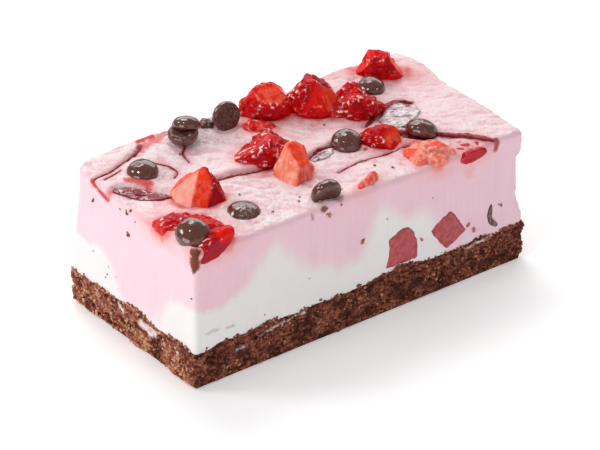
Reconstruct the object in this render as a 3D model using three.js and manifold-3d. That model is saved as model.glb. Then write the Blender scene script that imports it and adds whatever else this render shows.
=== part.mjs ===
// A cut portion of strawberry mousse cake: a chocolate sponge base, a white mousse and a
// pink mousse that swirl into each other, diced strawberry and chocolate drops on top, and
// two strawberry dice and a sliver of chocolate that the knife laid bare in the long side.
// Millimetres, +Z up, the length along X. The origin is under the middle, on the table.

import * as THREE from 'three';
import { mergeVertices } from 'three/addons/utils/BufferGeometryUtils.js';
import Module from 'manifold-3d';

const wasm = await Module();
wasm.setup();

// Driving sizes
const cakeLength = 101;
const cakeWidth = 50.2;
const spongeHeight = 10.4;
const mousseHeight = 35.6;
const pieceGap = 0.3;

// Sponge base, and the places where crumbs pile up on its edge
const spongeHalf = { x: 50.1, y: 24.65 };
const spongeCornerRadius = 1.2;
const spongeEdgeLift = 0.5;
const spongeStep = 3.3;
const cragDepth = 0.7;
const cragSize = 2.6;
const spongeRim = { ragged: 0.5, footWave: 0.3, tuck: 0.5, tuckHeight: 1.8 };
const spongeGroove = { depth: 1.1, height: 6.4, reach: 1.1 };
const leftDip = { depth: 0.8, from: -42, to: -48 };
const spongeRipple = 0.35;
const crumbPiles = [
  { rise: 1.5, centre: [-50, -1], reach: [4, 4] },
  { rise: 1.3, centre: [10, -25], reach: [5, 5] },
];

// Mousse block above it. Its foot stands a little inside the sponge's edge
const mousseHalf = { left: 49.9, right: 50, front: 24.6, back: 24.5 };
const mousseFoot = { below: 2, above: 0.9, inset: 1.6, share: 0.1 };
const edgeRadius = 1.3;
const mousseStep = 4.2;
const sideWave = 0.25;
const topRipple = 0.2;

// The right end narrows above the sponge and curls out again at the top, further at the back
const rightWaist = { depth: 2.6, from: 11, to: 19 };
const rightCurl = { reach: 1.3, moreAtBack: 0.9, from: 28.8, to: 30.8 };

// Corners as seen from above. The back left one is rounded more and more towards the top
const backLeftCorner = { radius: 0.6, more: 5.2, from: 10, to: 34 };
const rightCorners = 2;
const frontLeftCorner = 1;

// Rolls of mousse along the back and at the right end, and the hollow that holds the sauce
const topRolls = [
  { rise: 0.9, centre: [-32, 22], reach: [14, 6] },
  { rise: 0.9, centre: [30, 22], reach: [8, 6] },
  { rise: 1.1, centre: [47, 14], reach: [6, 6] },
  { rise: -0.6, centre: [-43, 3.5], reach: [6, 4] },
];

// Where the white mousse ends and the pink one begins: the level of the seam, and how its
// tongues rise and dip along each side
const swirlLevel = 20;
const swirlFloor = 12.4;
const swirlDive = 3;
const swirlStep = { along: 3.4, across: 7 };
const swirlReach = 10;
const frontTongues = [
  { rise: 10.3, centre: -28, reach: 5.2 },
  { rise: -2.6, centre: -7, reach: 4 },
  { rise: 9.5, centre: 4, reach: 3 },
  { rise: 5.2, centre: 14, reach: 8 },
  { rise: -15, centre: 38, reach: 14 },
];
const backTongues = [
  { rise: 6, centre: -20, reach: 8 },
  { rise: -11, centre: 8, reach: 6 },
  { rise: 5, centre: 30, reach: 7 },
];
const leftTongues = [{ rise: -15, centre: -2.6, reach: 7.8 }];
const rightTongues = [{ rise: -5, centre: 12, reach: 5 }];

// Toppings. viewerTurn is the direction that the cake is mostly looked at from
const dropSides = 12;
const sideDepth = 4;
const viewerTurn = -38.6;
const degree = Math.PI / 180;
const seed = 41;

function smoothStep(from, to, value) {
  const t = Math.min(1, Math.max(0, (value - from) / (to - from)));
  return t * t * (3 - 2 * t);
}

function hump(value, centre, reach) {
  return Math.exp(-(((value - centre) / reach) ** 2));
}

function sumOf(list, value) {
  return list.reduce((sum, item) => sum + value(item), 0);
}

function moundSum(mounds, x, y) {
  return sumOf(mounds, ({ rise, centre, reach }) => {
    return rise * hump(x, centre[0], reach[0]) * hump(y, centre[1], reach[1]);
  });
}

function tongueSum(tongues, place) {
  return sumOf(tongues, ({ rise, centre, reach }) => rise * hump(place, centre, reach));
}

// A repeatable random value between 0 and 1 for each point of a lattice
function latticeValue(i, j, k) {
  let mixed = Math.imul(i, 374761393) ^ Math.imul(j, 668265263) ^ Math.imul(k + seed, 1440662683);
  mixed = Math.imul(mixed ^ (mixed >>> 13), 1274126177);
  return ((mixed ^ (mixed >>> 16)) >>> 0) / 4294967295;
}

// Smooth noise between -1 and 1, with lumps about one unit across
function noise(x, y, z) {
  const i = Math.floor(x);
  const j = Math.floor(y);
  const k = Math.floor(z);
  const fx = smoothStep(0, 1, x - i);
  const fy = smoothStep(0, 1, y - j);
  const fz = smoothStep(0, 1, z - k);
  let sum = 0;
  for (let corner = 0; corner < 8; corner++) {
    const a = corner & 1;
    const b = (corner >> 1) & 1;
    const c = corner >> 2;
    const weight = (a ? fx : 1 - fx) * (b ? fy : 1 - fy) * (c ? fz : 1 - fz);
    sum += weight * latticeValue(i + a, j + b, k + c);
  }
  return 2 * sum - 1;
}

// Evenly spaced lines from -1 to 1, with closer ones where the rounded edge is
function gradedLines(halfSize, step, edgeDistances) {
  const inner = halfSize - edgeDistances[edgeDistances.length - 1];
  const cells = Math.round((2 * inner) / step);
  const lines = edgeDistances.slice(0, -1).map((distance) => distance / halfSize - 1);
  for (let cell = 0; cell <= cells; cell++) {
    lines.push((inner / halfSize) * ((2 * cell) / cells - 1));
  }
  const far = edgeDistances.slice(0, -1).reverse();
  return lines.concat(far.map((distance) => 1 - distance / halfSize));
}

// The square's edge as one loop, anticlockwise from above
function edgeLoop(uLines, vLines) {
  const front = uLines.slice(0, -1).map((u) => [u, -1]);
  const right = vLines.slice(0, -1).map((v) => [1, v]);
  const back = uLines.slice(1).reverse().map((u) => [u, 1]);
  const left = vLines.slice(1).reverse().map((v) => [-1, v]);
  return [...front, ...right, ...back, ...left];
}

// A closed block. place(u, v, w) puts a point of the square's plan, u and v from -1 to 1, at
// level w from 0 at the foot to 1 at the top. lid is "grid" or a list of shrinking rings.
function blockGeometry({ uLines, vLines, levels, lid, footRings, place }) {
  const points = [];
  const loop = edgeLoop(uLines, vLines);
  const triangle = (a, b, c) => {
    points.push(...a, ...b, ...c);
  };
  const quad = (a, b, c, d) => {
    triangle(a, b, c);
    triangle(a, c, d);
  };
  const ringStrip = (outer, inner) => {
    outer.forEach((point, index) => {
      const next = (index + 1) % outer.length;
      quad(point, outer[next], inner[next], inner[index]);
    });
  };
  const ringAt = (scale, w) => loop.map(([u, v]) => place(u * scale, v * scale, w));
  for (let row = 0; row + 1 < levels.length; row++) {
    ringStrip(ringAt(1, levels[row]), ringAt(1, levels[row + 1]));
  }
  const closeWithRings = (scales, w, flip) => {
    let outer = ringAt(1, w);
    for (const scale of scales) {
      const inner = ringAt(scale, w);
      if (flip) {
        ringStrip(inner, outer);
      } else {
        ringStrip(outer, inner);
      }
      outer = inner;
    }
    const pole = place(0, 0, w);
    outer.forEach((point, index) => {
      const next = outer[(index + 1) % outer.length];
      if (flip) {
        triangle(next, point, pole);
      } else {
        triangle(point, next, pole);
      }
    });
  };
  closeWithRings(footRings, 0, true);
  if (lid === 'grid') {
    for (let i = 0; i + 1 < uLines.length; i++) {
      for (let j = 0; j + 1 < vLines.length; j++) {
        const corner = (a, b) => place(uLines[i + a], vLines[j + b], 1);
        quad(corner(0, 0), corner(1, 0), corner(1, 1), corner(0, 1));
      }
    }
  } else {
    closeWithRings(lid, 1, false);
  }
  const geometry = new THREE.BufferGeometry();
  geometry.setAttribute('position', new THREE.Float32BufferAttribute(points, 3));
  return sharedVertices(geometry);
}

// The same triangles with one vertex for each place
function sharedVertices(geometry) {
  const bare = geometry.clone();
  bare.deleteAttribute('normal');
  bare.deleteAttribute('uv');
  return mergeVertices(bare);
}

function toSolid(geometry) {
  const corners = Array.from(geometry.index.array);
  const kept = [];
  for (let start = 0; start < corners.length; start += 3) {
    const [a, b, c] = corners.slice(start, start + 3);
    if (a !== b && b !== c && c !== a) {
      kept.push(a, b, c);
    }
  }
  const vertProperties = Float32Array.from(geometry.attributes.position.array);
  const triVerts = Uint32Array.from(kept);
  return new wasm.Manifold(new wasm.Mesh({ numProp: 3, vertProperties, triVerts }));
}

// The shape with every vertex moved outwards, to cut its neighbours with a gap all round
function grownSolid(geometry, distance) {
  const grown = geometry.clone();
  grown.computeVertexNormals();
  const { position, normal } = grown.attributes;
  for (let index = 0; index < position.count; index++) {
    position.setXYZ(
      index,
      position.getX(index) + distance * normal.getX(index),
      position.getY(index) + distance * normal.getY(index),
      position.getZ(index) + distance * normal.getZ(index)
    );
  }
  return toSolid(grown);
}

// The largest body of a cut solid: thin scraps that the cuts leave are dropped
function mainBody(solid) {
  const bodies = solid.decompose();
  return bodies.reduce((best, body) => (body.volume() > best.volume() ? body : best));
}

function toMesh(name, solid, material) {
  const { numProp, vertProperties, triVerts } = mainBody(solid).getMesh();
  const geometry = new THREE.BufferGeometry();
  geometry.setAttribute('position', new THREE.Float32BufferAttribute(vertProperties, numProp));
  geometry.setIndex(Array.from(triVerts));
  geometry.computeVertexNormals();
  const mesh = new THREE.Mesh(geometry, new THREE.MeshStandardMaterial(material));
  mesh.name = name;
  return mesh;
}

// A point of the square put on a rectangle with rounded corners
function roundedPlan(u, v, reachX, reachY, radius) {
  let x = u * reachX;
  let y = v * reachY;
  const overX = Math.abs(x) - (reachX - radius);
  const overY = Math.abs(y) - (reachY - radius);
  if (overX > 0 && overY > 0) {
    const shrink = Math.max(overX, overY) / Math.hypot(overX, overY);
    x = Math.sign(x) * (reachX - radius + overX * shrink);
    y = Math.sign(y) * (reachY - radius + overY * shrink);
  }
  return [x, y];
}

// Height of the sponge: a little lower by the left end, uneven all over
function spongeTop(x, y) {
  const dip = leftDip.depth * smoothStep(leftDip.from, leftDip.to, x);
  return spongeHeight - dip + moundSum(crumbPiles, x, y) + spongeRipple * noise(x / 5, y / 5, 3);
}

function spongePoint(u, v, w) {
  const rim = Math.max(Math.abs(u), Math.abs(v));
  const onSide = rim > 0.999;
  let [x, y] = roundedPlan(u, v, spongeHalf.x, spongeHalf.y, spongeCornerRadius);
  const top = spongeTop(x, y) + (onSide ? spongeRim.ragged * noise(x / 2, y / 2, 9) : 0);
  const foot = onSide ? spongeEdgeLift + spongeRim.footWave * noise(x / 6, y / 6, 5) : 0;
  const z = foot + w * (top - foot);
  if (onSide) {
    const crag = cragDepth * noise(x / cragSize, y / cragSize, z / cragSize);
    const tuck = spongeRim.tuck * smoothStep(spongeRim.tuckHeight, 0, z);
    const inGroove = spongeGroove.depth * hump(z, spongeGroove.height, spongeGroove.reach);
    const groove = u > 0.99 ? inGroove : 0;
    const outward = crag - tuck - groove;
    x += Math.abs(u) > 0.999 ? Math.sign(u) * outward : 0;
    y += Math.abs(v) > 0.999 ? Math.sign(v) * outward : 0;
  }
  return [x, y, z];
}

// Stretches a geometry in plan so that its crags just reach the cake's length and width
function fitToPlan(geometry) {
  geometry.computeBoundingBox();
  const { min, max } = geometry.boundingBox;
  geometry.translate(-(min.x + max.x) / 2, -(min.y + max.y) / 2, -min.z);
  geometry.scale(cakeLength / (max.x - min.x), cakeWidth / (max.y - min.y), 1);
  return geometry;
}

function spongeGeometry() {
  const geometry = blockGeometry({
    uLines: gradedLines(spongeHalf.x, spongeStep, [0, 1.2]),
    vLines: gradedLines(spongeHalf.y, spongeStep, [0, 1.2]),
    levels: [0, 0.2, 0.45, 0.7, 0.9, 1],
    lid: [0.96, 0.85],
    footRings: [0.96],
    place: spongePoint,
  });
  return fitToPlan(geometry);
}

// Folds that the spreading knife left. Each runs along its path and is raised to the left of it
const folds = [
  { path: [[-50, 15.2], [-40.6, 16.9], [-35, 18.7], [-32.6, 20.2], [-24, 23.6]], rise: 0.25,
    reach: 4 },
  { path: [[-26, -1], [-21, -1.5], [-16, -3], [-4, -5.5], [6, -4]], rise: 1, reach: 6 },
  { path: [[22.7, -9], [25, -12], [29.8, -14.4], [33.1, -17.2], [36.4, -20.5], [39.4, -25]],
    rise: 0.7, reach: 6 },
  { path: [[-51, 8.6], [-47.5, 9.2], [-45.2, 8.7], [-43, 7.1], [-41, 4.9], [-39.2, 2.2], [-37.5, 0]],
    rise: 0.9, reach: 5 },
];

function foldHeight(x, y, { path, rise, reach }) {
  let nearest = Infinity;
  let side = 0;
  for (let index = 0; index + 1 < path.length; index++) {
    const [startX, startY] = path[index];
    const [endX, endY] = path[index + 1];
    const runX = endX - startX;
    const runY = endY - startY;
    const along = ((x - startX) * runX + (y - startY) * runY) / (runX ** 2 + runY ** 2);
    const t = Math.min(1, Math.max(0, along));
    const offX = x - startX - t * runX;
    const offY = y - startY - t * runY;
    const distance = Math.hypot(offX, offY);
    if (distance < nearest) {
      nearest = distance;
      side = Math.sign(runX * offY - runY * offX);
    }
  }
  return side > 0 ? rise * smoothStep(0, 1, nearest) * hump(nearest, 0, reach) : 0;
}

// Height of the mousse's top: it rises to the back and curls up at the right end
function mousseTop(x, y) {
  const slope = 0.8 * smoothStep(-24, -8, y) + 0.7 * smoothStep(2, 16, y);
  const rightLip = 0.3 * smoothStep(38, 48, x) * smoothStep(12, 4, y);
  const folded = sumOf(folds, (fold) => foldHeight(x, y, fold));
  const ripple = topRipple * noise(x / 7, y / 7, 17);
  return mousseHeight + slope + moundSum(topRolls, x, y) + rightLip + folded + ripple;
}

function rightReach(y, z) {
  const waist = rightWaist.depth * smoothStep(rightWaist.from, rightWaist.to, z);
  const curl = rightCurl.reach + rightCurl.moreAtBack * smoothStep(4, 12, y);
  return mousseHalf.right - waist + curl * smoothStep(rightCurl.from, rightCurl.to, z);
}

function cornerRadius(u, v, z) {
  if (u < 0 && v > 0) {
    const { radius, more, from, to } = backLeftCorner;
    return radius + more * smoothStep(from, to, z);
  }
  return u > 0 ? rightCorners : frontLeftCorner;
}

function moussePoint(u, v, w) {
  const planX = u * mousseHalf.left;
  const planY = v * mousseHalf.front;
  const fromEnd = (1 - Math.abs(u)) * mousseHalf.left;
  const fromEdge = Math.min(fromEnd, (1 - Math.abs(v)) * mousseHalf.front);
  const inRound = Math.max(0, edgeRadius - fromEdge);
  const drop = edgeRadius - Math.sqrt(Math.max(0, edgeRadius ** 2 - inRound ** 2));
  const top = mousseTop(planX, planY) - drop;
  const base = spongeTop(planX, planY);
  const inFoot = Math.max(0, 1 - w / mousseFoot.share);
  const footTop = base + mousseFoot.above;
  const rise = Math.max(0, (w - mousseFoot.share) / (1 - mousseFoot.share));
  const z = footTop + rise * (top - footTop) - inFoot * (mousseFoot.below + mousseFoot.above);
  const inset = mousseFoot.inset * inFoot;
  const reachX = (u > 0 ? rightReach(planY, z) : mousseHalf.left) - inset;
  const reachY = (v > 0 ? mousseHalf.back : mousseHalf.front) - inset;
  const wave = 1 + (sideWave / mousseHalf.left) * noise(planX / 9, planY / 9, z / 9);
  const [x, y] = roundedPlan(u, v, reachX * wave, reachY * wave, cornerRadius(u, v, z));
  return [x, y, z];
}

function mousseGeometry() {
  const edgeDistances = [0, 0.4, edgeRadius];
  return blockGeometry({
    uLines: gradedLines(mousseHalf.left, mousseStep, edgeDistances),
    vLines: gradedLines(mousseHalf.front, mousseStep, edgeDistances),
    levels: [0, mousseFoot.share, 0.4, 0.7, 0.92, 1],
    lid: 'grid',
    footRings: [],
    place: moussePoint,
  });
}

// Height of the seam between the two mousses. Each side's tongues fade out inside the cake,
// and where the seam comes near the sponge it dives into it
function swirlHeight(x, y) {
  const height =
    swirlLevel +
    tongueSum(frontTongues, x) * hump(y, -spongeHalf.y, swirlReach) +
    tongueSum(backTongues, x) * hump(y, spongeHalf.y, swirlReach) +
    tongueSum(leftTongues, y) * hump(x, -spongeHalf.x, swirlReach) +
    tongueSum(rightTongues, y) * hump(x, spongeHalf.x, swirlReach);
  return height < swirlFloor ? swirlFloor - swirlDive * (swirlFloor - height) : height;
}

// All the space below the seam, moved up or down by an offset
function belowSwirl(offset) {
  const halfX = 56;
  const halfY = 32;
  return toSolid(blockGeometry({
    uLines: gradedLines(halfX, swirlStep.along, [0]),
    vLines: gradedLines(halfY, swirlStep.across, [0]),
    levels: [0, 1],
    lid: 'grid',
    footRings: [],
    place: (u, v, w) => {
      const x = u * halfX;
      const y = v * halfY;
      return [x, y, w ? swirlHeight(x, y) + offset : -10];
    },
  }));
}

function directionOf(azimuth, elevation) {
  const level = Math.cos(elevation * degree);
  return new THREE.Vector3(
    level * Math.cos(azimuth * degree),
    level * Math.sin(azimuth * degree),
    Math.sin(elevation * degree)
  );
}

// A piece of strawberry: an oval lump, flat where a knife cut it. size is its width, depth and
// height, at the middle of the lump, and each cut is [azimuth, elevation, distance from there].
// Each lobe draws it out: [azimuth, elevation, share, width in degrees]. tilt raises one end.
function diceGeometry({ at, size, turn = viewerTurn, tilt = 0, cuts, lobes = [], lumps, detail = 2 }) {
  const geometry = sharedVertices(new THREE.IcosahedronGeometry(1, detail));
  const { position } = geometry.attributes;
  const planes = cuts.map(([azimuth, elevation, distance]) => {
    return { normal: directionOf(azimuth, elevation), distance };
  });
  const pulls = lobes.map(([azimuth, elevation, share, width]) => {
    return { middle: directionOf(azimuth, elevation), share, width };
  });
  const point = new THREE.Vector3();
  const direction = new THREE.Vector3();
  for (let index = 0; index < position.count; index++) {
    point.fromBufferAttribute(position, index);
    point.multiply(new THREE.Vector3(...size)).multiplyScalar(0.5);
    direction.copy(point).normalize();
    let reach = point.length();
    for (const { normal, distance } of planes) {
      const facing = direction.dot(normal);
      if (facing > 0.05) {
        reach = Math.min(reach, distance / facing);
      }
    }
    for (const { middle, share, width } of pulls) {
      const angle = direction.angleTo(middle) / degree;
      reach *= 1 + share * hump(angle, 0, width);
    }
    const lump = noise(direction.x * 2.2 + at[0], direction.y * 2.2 + at[1], direction.z * 2.2);
    point.copy(direction).multiplyScalar(reach * (1 + lumps * lump));
    position.setXYZ(index, point.x, point.y, point.z);
  }
  geometry.rotateY(-tilt * degree);
  geometry.rotateZ(turn * degree);
  return geometry.translate(...at);
}

// A chocolate drop: a flat base and a domed top, turned about its axis
function dropGeometry({ at, width, lean = 0, towards = 0 }) {
  const profile = [
    [0, 0], [0.43, 0], [0.5, 0.15], [0.43, 0.33], [0.26, 0.436], [0, 0.485],
  ];
  const points = profile.map(([radius, height]) => new THREE.Vector2(radius, height - 0.2));
  const geometry = sharedVertices(new THREE.LatheGeometry(points, dropSides));
  geometry.scale(width, width, width);
  geometry.rotateX(Math.PI / 2);
  geometry.rotateY(lean * degree);
  geometry.rotateZ((viewerTurn + towards) * degree);
  return geometry.translate(...at);
}

// A piece that the knife cut flush with the front side: its outline there, run a way in
function flushGeometry(shape) {
  const settings = { depth: sideDepth, bevelEnabled: false, curveSegments: 8 };
  const geometry = new THREE.ExtrudeGeometry(shape, settings);
  geometry.rotateX(Math.PI / 2);
  return sharedVertices(geometry.translate(0, sideDepth - spongeHalf.y, 0));
}

function outlineShape(corners) {
  return new THREE.Shape(corners.map(([x, z]) => new THREE.Vector2(x, z)));
}

// The rim of a sliced drop: a crescent between two arcs
function crescentShape() {
  const crescent = new THREE.Shape();
  crescent.absarc(42.3, 16.2, 4.7, Math.PI * 0.8, Math.PI * 1.42, false);
  crescent.absarc(43.5, 16.9, 4.7, Math.PI * 1.36, Math.PI * 0.86, true);
  return crescent;
}

// Strawberry pieces on top, from the left end to the right. sink is how deep each lies
const strawberries = [
  { name: 'strawberry_corner_flake', at: [-44.2, -12.9], size: [14, 8, 4], sink: 2,
    cuts: [], lobes: [[8, 0, 0.1, 20]], lumps: 0.24 },
  { name: 'strawberry_wedge_left', at: [-35, -5.8], size: [14, 11, 11], sink: 2.6,
    cuts: [[233, 35, 1.9], [-86, 34, 1.75], [-50, 22, 3], [0, 28, 3.9], [80, 35, 4], [165, 48, 3.3]],
    lobes: [[-10, -28, 0.12, 24]], lumps: 0.03 },
  { name: 'strawberry_crushed_middle', at: [-10.6, 0.6], size: [12.8, 11.5, 8], sink: 2.2,
    cuts: [[175, 48, 3.1], [10, 50, 3.2]],
    lobes: [[190, -8, 0.3, 16], [-100, -20, 0.1, 25]], lumps: 0.16 },
  { name: 'strawberry_wedge_middle', at: [-9.6, -9.2], size: [10, 12, 11], sink: 2.8,
    cuts: [[-125, 20, 2.9], [-45, 56, 3.2], [-55, 10, 4], [8, 14, 3.3], [160, 20, 3.9], [80, 20, 4]],
    lobes: [[-8, -4, 0.25, 14], [-92, -30, 0.5, 18]], lumps: 0.04 },
  { name: 'strawberry_flat_back', at: [-4, 12.9], size: [7.6, 4.2, 2.8], sink: 1.3,
    cuts: [], lobes: [[10, 10, 0.25, 25]], lumps: 0.35, detail: 1 },
  { name: 'strawberry_back_left', at: [2.7, 17.2], size: [12, 9.5, 9.4], sink: 1.8,
    cuts: [[-80, 50, 3.9], [165, 40, 4.5], [20, 40, 4.5]], lobes: [[188, -22, 0.22, 20]], lumps: 0.07 },
  { name: 'strawberry_back_middle', at: [12.6, 12.3], size: [13, 10.5, 10.8], sink: 2,
    cuts: [[-35, 24, 4.5], [12, 30, 5], [170, 42, 4.4], [-75, 28, 4.4], [12, 58, 4.4]],
    lobes: [[185, 20, 0.08, 20]], lumps: 0.08 },
  { name: 'strawberry_back_crushed', at: [21.8, 7.2], size: [12.4, 12, 7.6], sink: 2,
    cuts: [[20, 52, 3]], lobes: [[-140, -15, 0.22, 22]], lumps: 0.17 },
  { name: 'strawberry_back_right', at: [37.2, 17.2], size: [13.6, 7, 7.6], sink: 1.8,
    cuts: [[182, 42, 3.5], [-4, 36, 3.8]], lobes: [[95, 70, 0.12, 25]], lumps: 0.16 },
  { name: 'strawberry_right_middle', at: [16.4, -9.3], size: [10.6, 8, 5.4], sink: 1.8,
    cuts: [[-30, 38, 2.7]], lobes: [[186, 0, 0.12, 20]], lumps: 0.1 },
  { name: 'strawberry_sliver_front', at: [1.7, -22.1], size: [7.8, 2.4, 3.6], sink: 1.9, turn: 13, tilt: 9,
    cuts: [], lobes: [[10, 30, 0.3, 22]], lumps: 0.1, detail: 1 },
  { name: 'strawberry_crushed_front', at: [21.9, -19.2], size: [11.4, 11, 4], sink: 2,
    cuts: [], lobes: [[5, 35, 0.35, 20], [-100, 0, 0.1, 30]], lumps: 0.24 },
  { name: 'strawberry_sunk_front', at: [32.2, -22.4], size: [11, 7, 3.8], sink: 3.4, turn: 0,
    cuts: [[-90, 0, 2.38], [-90, 85, 1.6]], lumps: 0.05 },
  { name: 'strawberry_slab_corner', at: [-43.6, -22.8], size: [12, 6.4, 4.8], sink: 2.6,
    turn: 0, tilt: 27, cuts: [[-90, 0, 1.95]], lumps: 0.06 },
];

// Strawberry dice in the front side, by the corners of their cut faces
const sideStrawberries = [
  { name: 'strawberry_side_round', corners: [
    [5.8, 12], [16, 12], [15.8, 17], [15, 19.5], [13, 21.9], [10, 22.3], [8, 21.3], [5.9, 20.4],
    [6.3, 17],
  ] },
  { name: 'strawberry_side_diamond', corners: [
    [24.5, 11.2], [27, 11.9], [31.3, 14.2], [29.4, 16.6], [27.5, 19.5], [25.8, 21.6], [23, 20.4],
    [19.5, 17.7], [22, 14.5],
  ] },
];

// Chocolate drops: lean is the tilt of the dome, towards the way it tips, seen by the viewer
const drops = [
  { name: 'chocolate_drop_left', at: [-38.6, 11], width: 7.6, lift: 0.75, lean: 8, towards: -90 },
  { name: 'chocolate_drop_flat', at: [-22.9, 16.6], width: 7.5, lift: 2.4, lean: 188, towards: -90 },
  { name: 'chocolate_drop_stacked', at: [-20.9, 18], width: 7.1, lift: 4.1, lean: 26, towards: 90 },
  { name: 'chocolate_drop_edge', at: [-9.6, 17.7], width: 7.4, lift: 3, lean: 100, towards: 122 },
  { name: 'chocolate_drop_back', at: [30.7, 12.2], width: 7, lift: 1, lean: 14, towards: -110 },
  { name: 'chocolate_drop_right', at: [27.1, -11.4], width: 8, lift: 0.8, lean: 20, towards: 60 },
  { name: 'chocolate_drop_middle', at: [8.4, -6], width: 7.5, lift: 1.4, lean: 26, towards: -90 },
  { name: 'chocolate_drop_front', at: [-10.4, -21.6], width: 7.6, lift: 1.7, lean: 68, towards: 121 },
  { name: 'chocolate_drop_sunk', at: [-29.4, -15.6], width: 8.6, lift: -0.5, lean: 3, towards: -90 },
  { name: 'chocolate_drop_corner', at: [-46, -18.8], width: 8.1, lift: 1.7, lean: 30, towards: -85 },
];

// A broken bit of chocolate
const chocolateChip = { name: 'chocolate_chip_back', at: [-13.6, 20.6], size: [4.6, 3, 2.4],
  sink: 0.5, cuts: [[150, 30, 1.3]], lumps: 0.2, detail: 1 };

const strawberryRed = { color: 0xd3222a, roughness: 0.25, metalness: 0 };
const cutStrawberry = { color: 0xb2495a, roughness: 0.55, metalness: 0 };
const darkChocolate = { color: 0x3a2420, roughness: 0.35, metalness: 0 };
const chocolateSponge = { color: 0x5e382b, roughness: 0.95, metalness: 0 };
const pinkMousse = { color: 0xf6cfdc, roughness: 0.6, metalness: 0 };
const whiteMousse = { color: 0xf2efec, roughness: 0.6, metalness: 0 };

// A topping's middle lies half its height above the mousse, less what is sunk
function restingHeight({ at: [x, y], size, sink }) {
  return mousseTop(x, y) + size[2] / 2 - sink;
}

function toppingList() {
  const pieces = [];
  for (const drop of drops) {
    const [x, y] = drop.at;
    const at = [x, y, mousseTop(x, y) + drop.lift];
    pieces.push({ name: drop.name, geometry: dropGeometry({ ...drop, at }), material: darkChocolate });
  }
  for (const berry of strawberries) {
    const at = [...berry.at, restingHeight(berry)];
    pieces.push({ name: berry.name, geometry: diceGeometry({ ...berry, at }), material: strawberryRed });
  }
  const chipAt = [...chocolateChip.at, restingHeight(chocolateChip)];
  const chip = diceGeometry({ ...chocolateChip, at: chipAt });
  pieces.push({ name: chocolateChip.name, geometry: chip, material: darkChocolate });
  for (const { name, corners } of sideStrawberries) {
    pieces.push({ name, geometry: flushGeometry(outlineShape(corners)), material: cutStrawberry });
  }
  const sliver = flushGeometry(crescentShape());
  pieces.push({ name: 'chocolate_side_sliver', geometry: sliver, material: darkChocolate });
  return pieces;
}

function touchingBoxes(first, second) {
  const a = first.boundingBox();
  const b = second.boundingBox();
  return [0, 1, 2].every((axis) => a.min[axis] < b.max[axis] && b.min[axis] < a.max[axis]);
}

// Takes away from a solid what each of the others needs for itself
function clearOf(solid, others) {
  const near = others.filter((other) => touchingBoxes(solid, other));
  return near.reduce((rest, other) => rest.subtract(other), solid);
}

const sponge = spongeGeometry();
const spongeCutter = grownSolid(sponge, pieceGap);
const toppings = toppingList();
const cutters = toppings.map(({ geometry }) => grownSolid(geometry, pieceGap));
const mousse = clearOf(toSolid(mousseGeometry()), [spongeCutter, ...cutters]);

const cake = new THREE.Group();
cake.add(toMesh('sponge_base', toSolid(sponge), chocolateSponge));
cake.add(toMesh('white_mousse', mousse.intersect(belowSwirl(-pieceGap / 2)), whiteMousse));
cake.add(toMesh('pink_mousse', mousse.subtract(belowSwirl(pieceGap / 2)), pinkMousse));
toppings.forEach(({ name, geometry, material }, index) => {
  const earlier = cutters.slice(0, index);
  cake.add(toMesh(name, clearOf(toSolid(geometry), [spongeCutter, ...earlier]), material));
});

export default cake;
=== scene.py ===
import itertools
import math

import bpy
import numpy as np
from mathutils import Matrix, Vector
from mathutils.bvhtree import BVHTree


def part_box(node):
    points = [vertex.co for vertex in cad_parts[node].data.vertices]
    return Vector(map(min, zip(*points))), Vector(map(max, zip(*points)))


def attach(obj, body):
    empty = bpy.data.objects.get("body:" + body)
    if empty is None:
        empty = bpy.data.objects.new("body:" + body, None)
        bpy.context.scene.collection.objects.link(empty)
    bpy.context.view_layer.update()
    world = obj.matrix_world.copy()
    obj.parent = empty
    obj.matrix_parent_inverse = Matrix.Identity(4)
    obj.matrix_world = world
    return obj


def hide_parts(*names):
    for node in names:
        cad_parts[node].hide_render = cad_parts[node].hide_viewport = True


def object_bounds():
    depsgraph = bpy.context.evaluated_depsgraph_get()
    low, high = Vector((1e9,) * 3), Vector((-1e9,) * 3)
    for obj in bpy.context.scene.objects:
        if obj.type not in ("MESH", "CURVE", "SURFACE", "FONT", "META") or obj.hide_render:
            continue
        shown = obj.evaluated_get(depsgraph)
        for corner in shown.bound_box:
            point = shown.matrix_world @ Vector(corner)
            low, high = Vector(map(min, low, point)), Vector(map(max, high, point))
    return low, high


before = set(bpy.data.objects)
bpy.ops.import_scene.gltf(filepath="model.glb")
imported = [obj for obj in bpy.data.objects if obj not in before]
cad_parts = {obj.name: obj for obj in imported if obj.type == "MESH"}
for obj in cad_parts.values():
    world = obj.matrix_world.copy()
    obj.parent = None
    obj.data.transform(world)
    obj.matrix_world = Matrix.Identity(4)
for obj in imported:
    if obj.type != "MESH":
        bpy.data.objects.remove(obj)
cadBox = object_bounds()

mm = 0.001
cake = {"viewerTurn": -38.6, "seed": 41}  # degrees that turn +X to the viewer's right
chance = np.random.default_rng(cake["seed"])


# Numbers that vary in space

def smoothStep(start, end, value):
    t = np.clip((value - start) / (end - start), 0, 1)
    return t * t * (3 - 2 * t)


def hump(value, centre, reach):
    return np.exp(-(((value - centre) / reach) ** 2))


def blend(first, second, share):
    return first + (second - first) * share


def wrapped(value):
    return np.asarray(value).astype(np.int64).astype(np.uint32)


primes = [np.uint32(prime) for prime in (374761393, 668265263, 1440662683, 1274126177)]
largestValue = 2 ** 32 - 1


# A repeatable random value from 0 to 1 for each point of a lattice, as in the solids
def latticeValue(i, j, k):
    mixed = wrapped(i) * primes[0] ^ wrapped(j) * primes[1]
    mixed = mixed ^ wrapped(np.asarray(k) + cake["seed"]) * primes[2]
    mixed = (mixed ^ (mixed >> np.uint32(13))) * primes[3]
    return (mixed ^ (mixed >> np.uint32(16))) / largestValue


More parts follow.
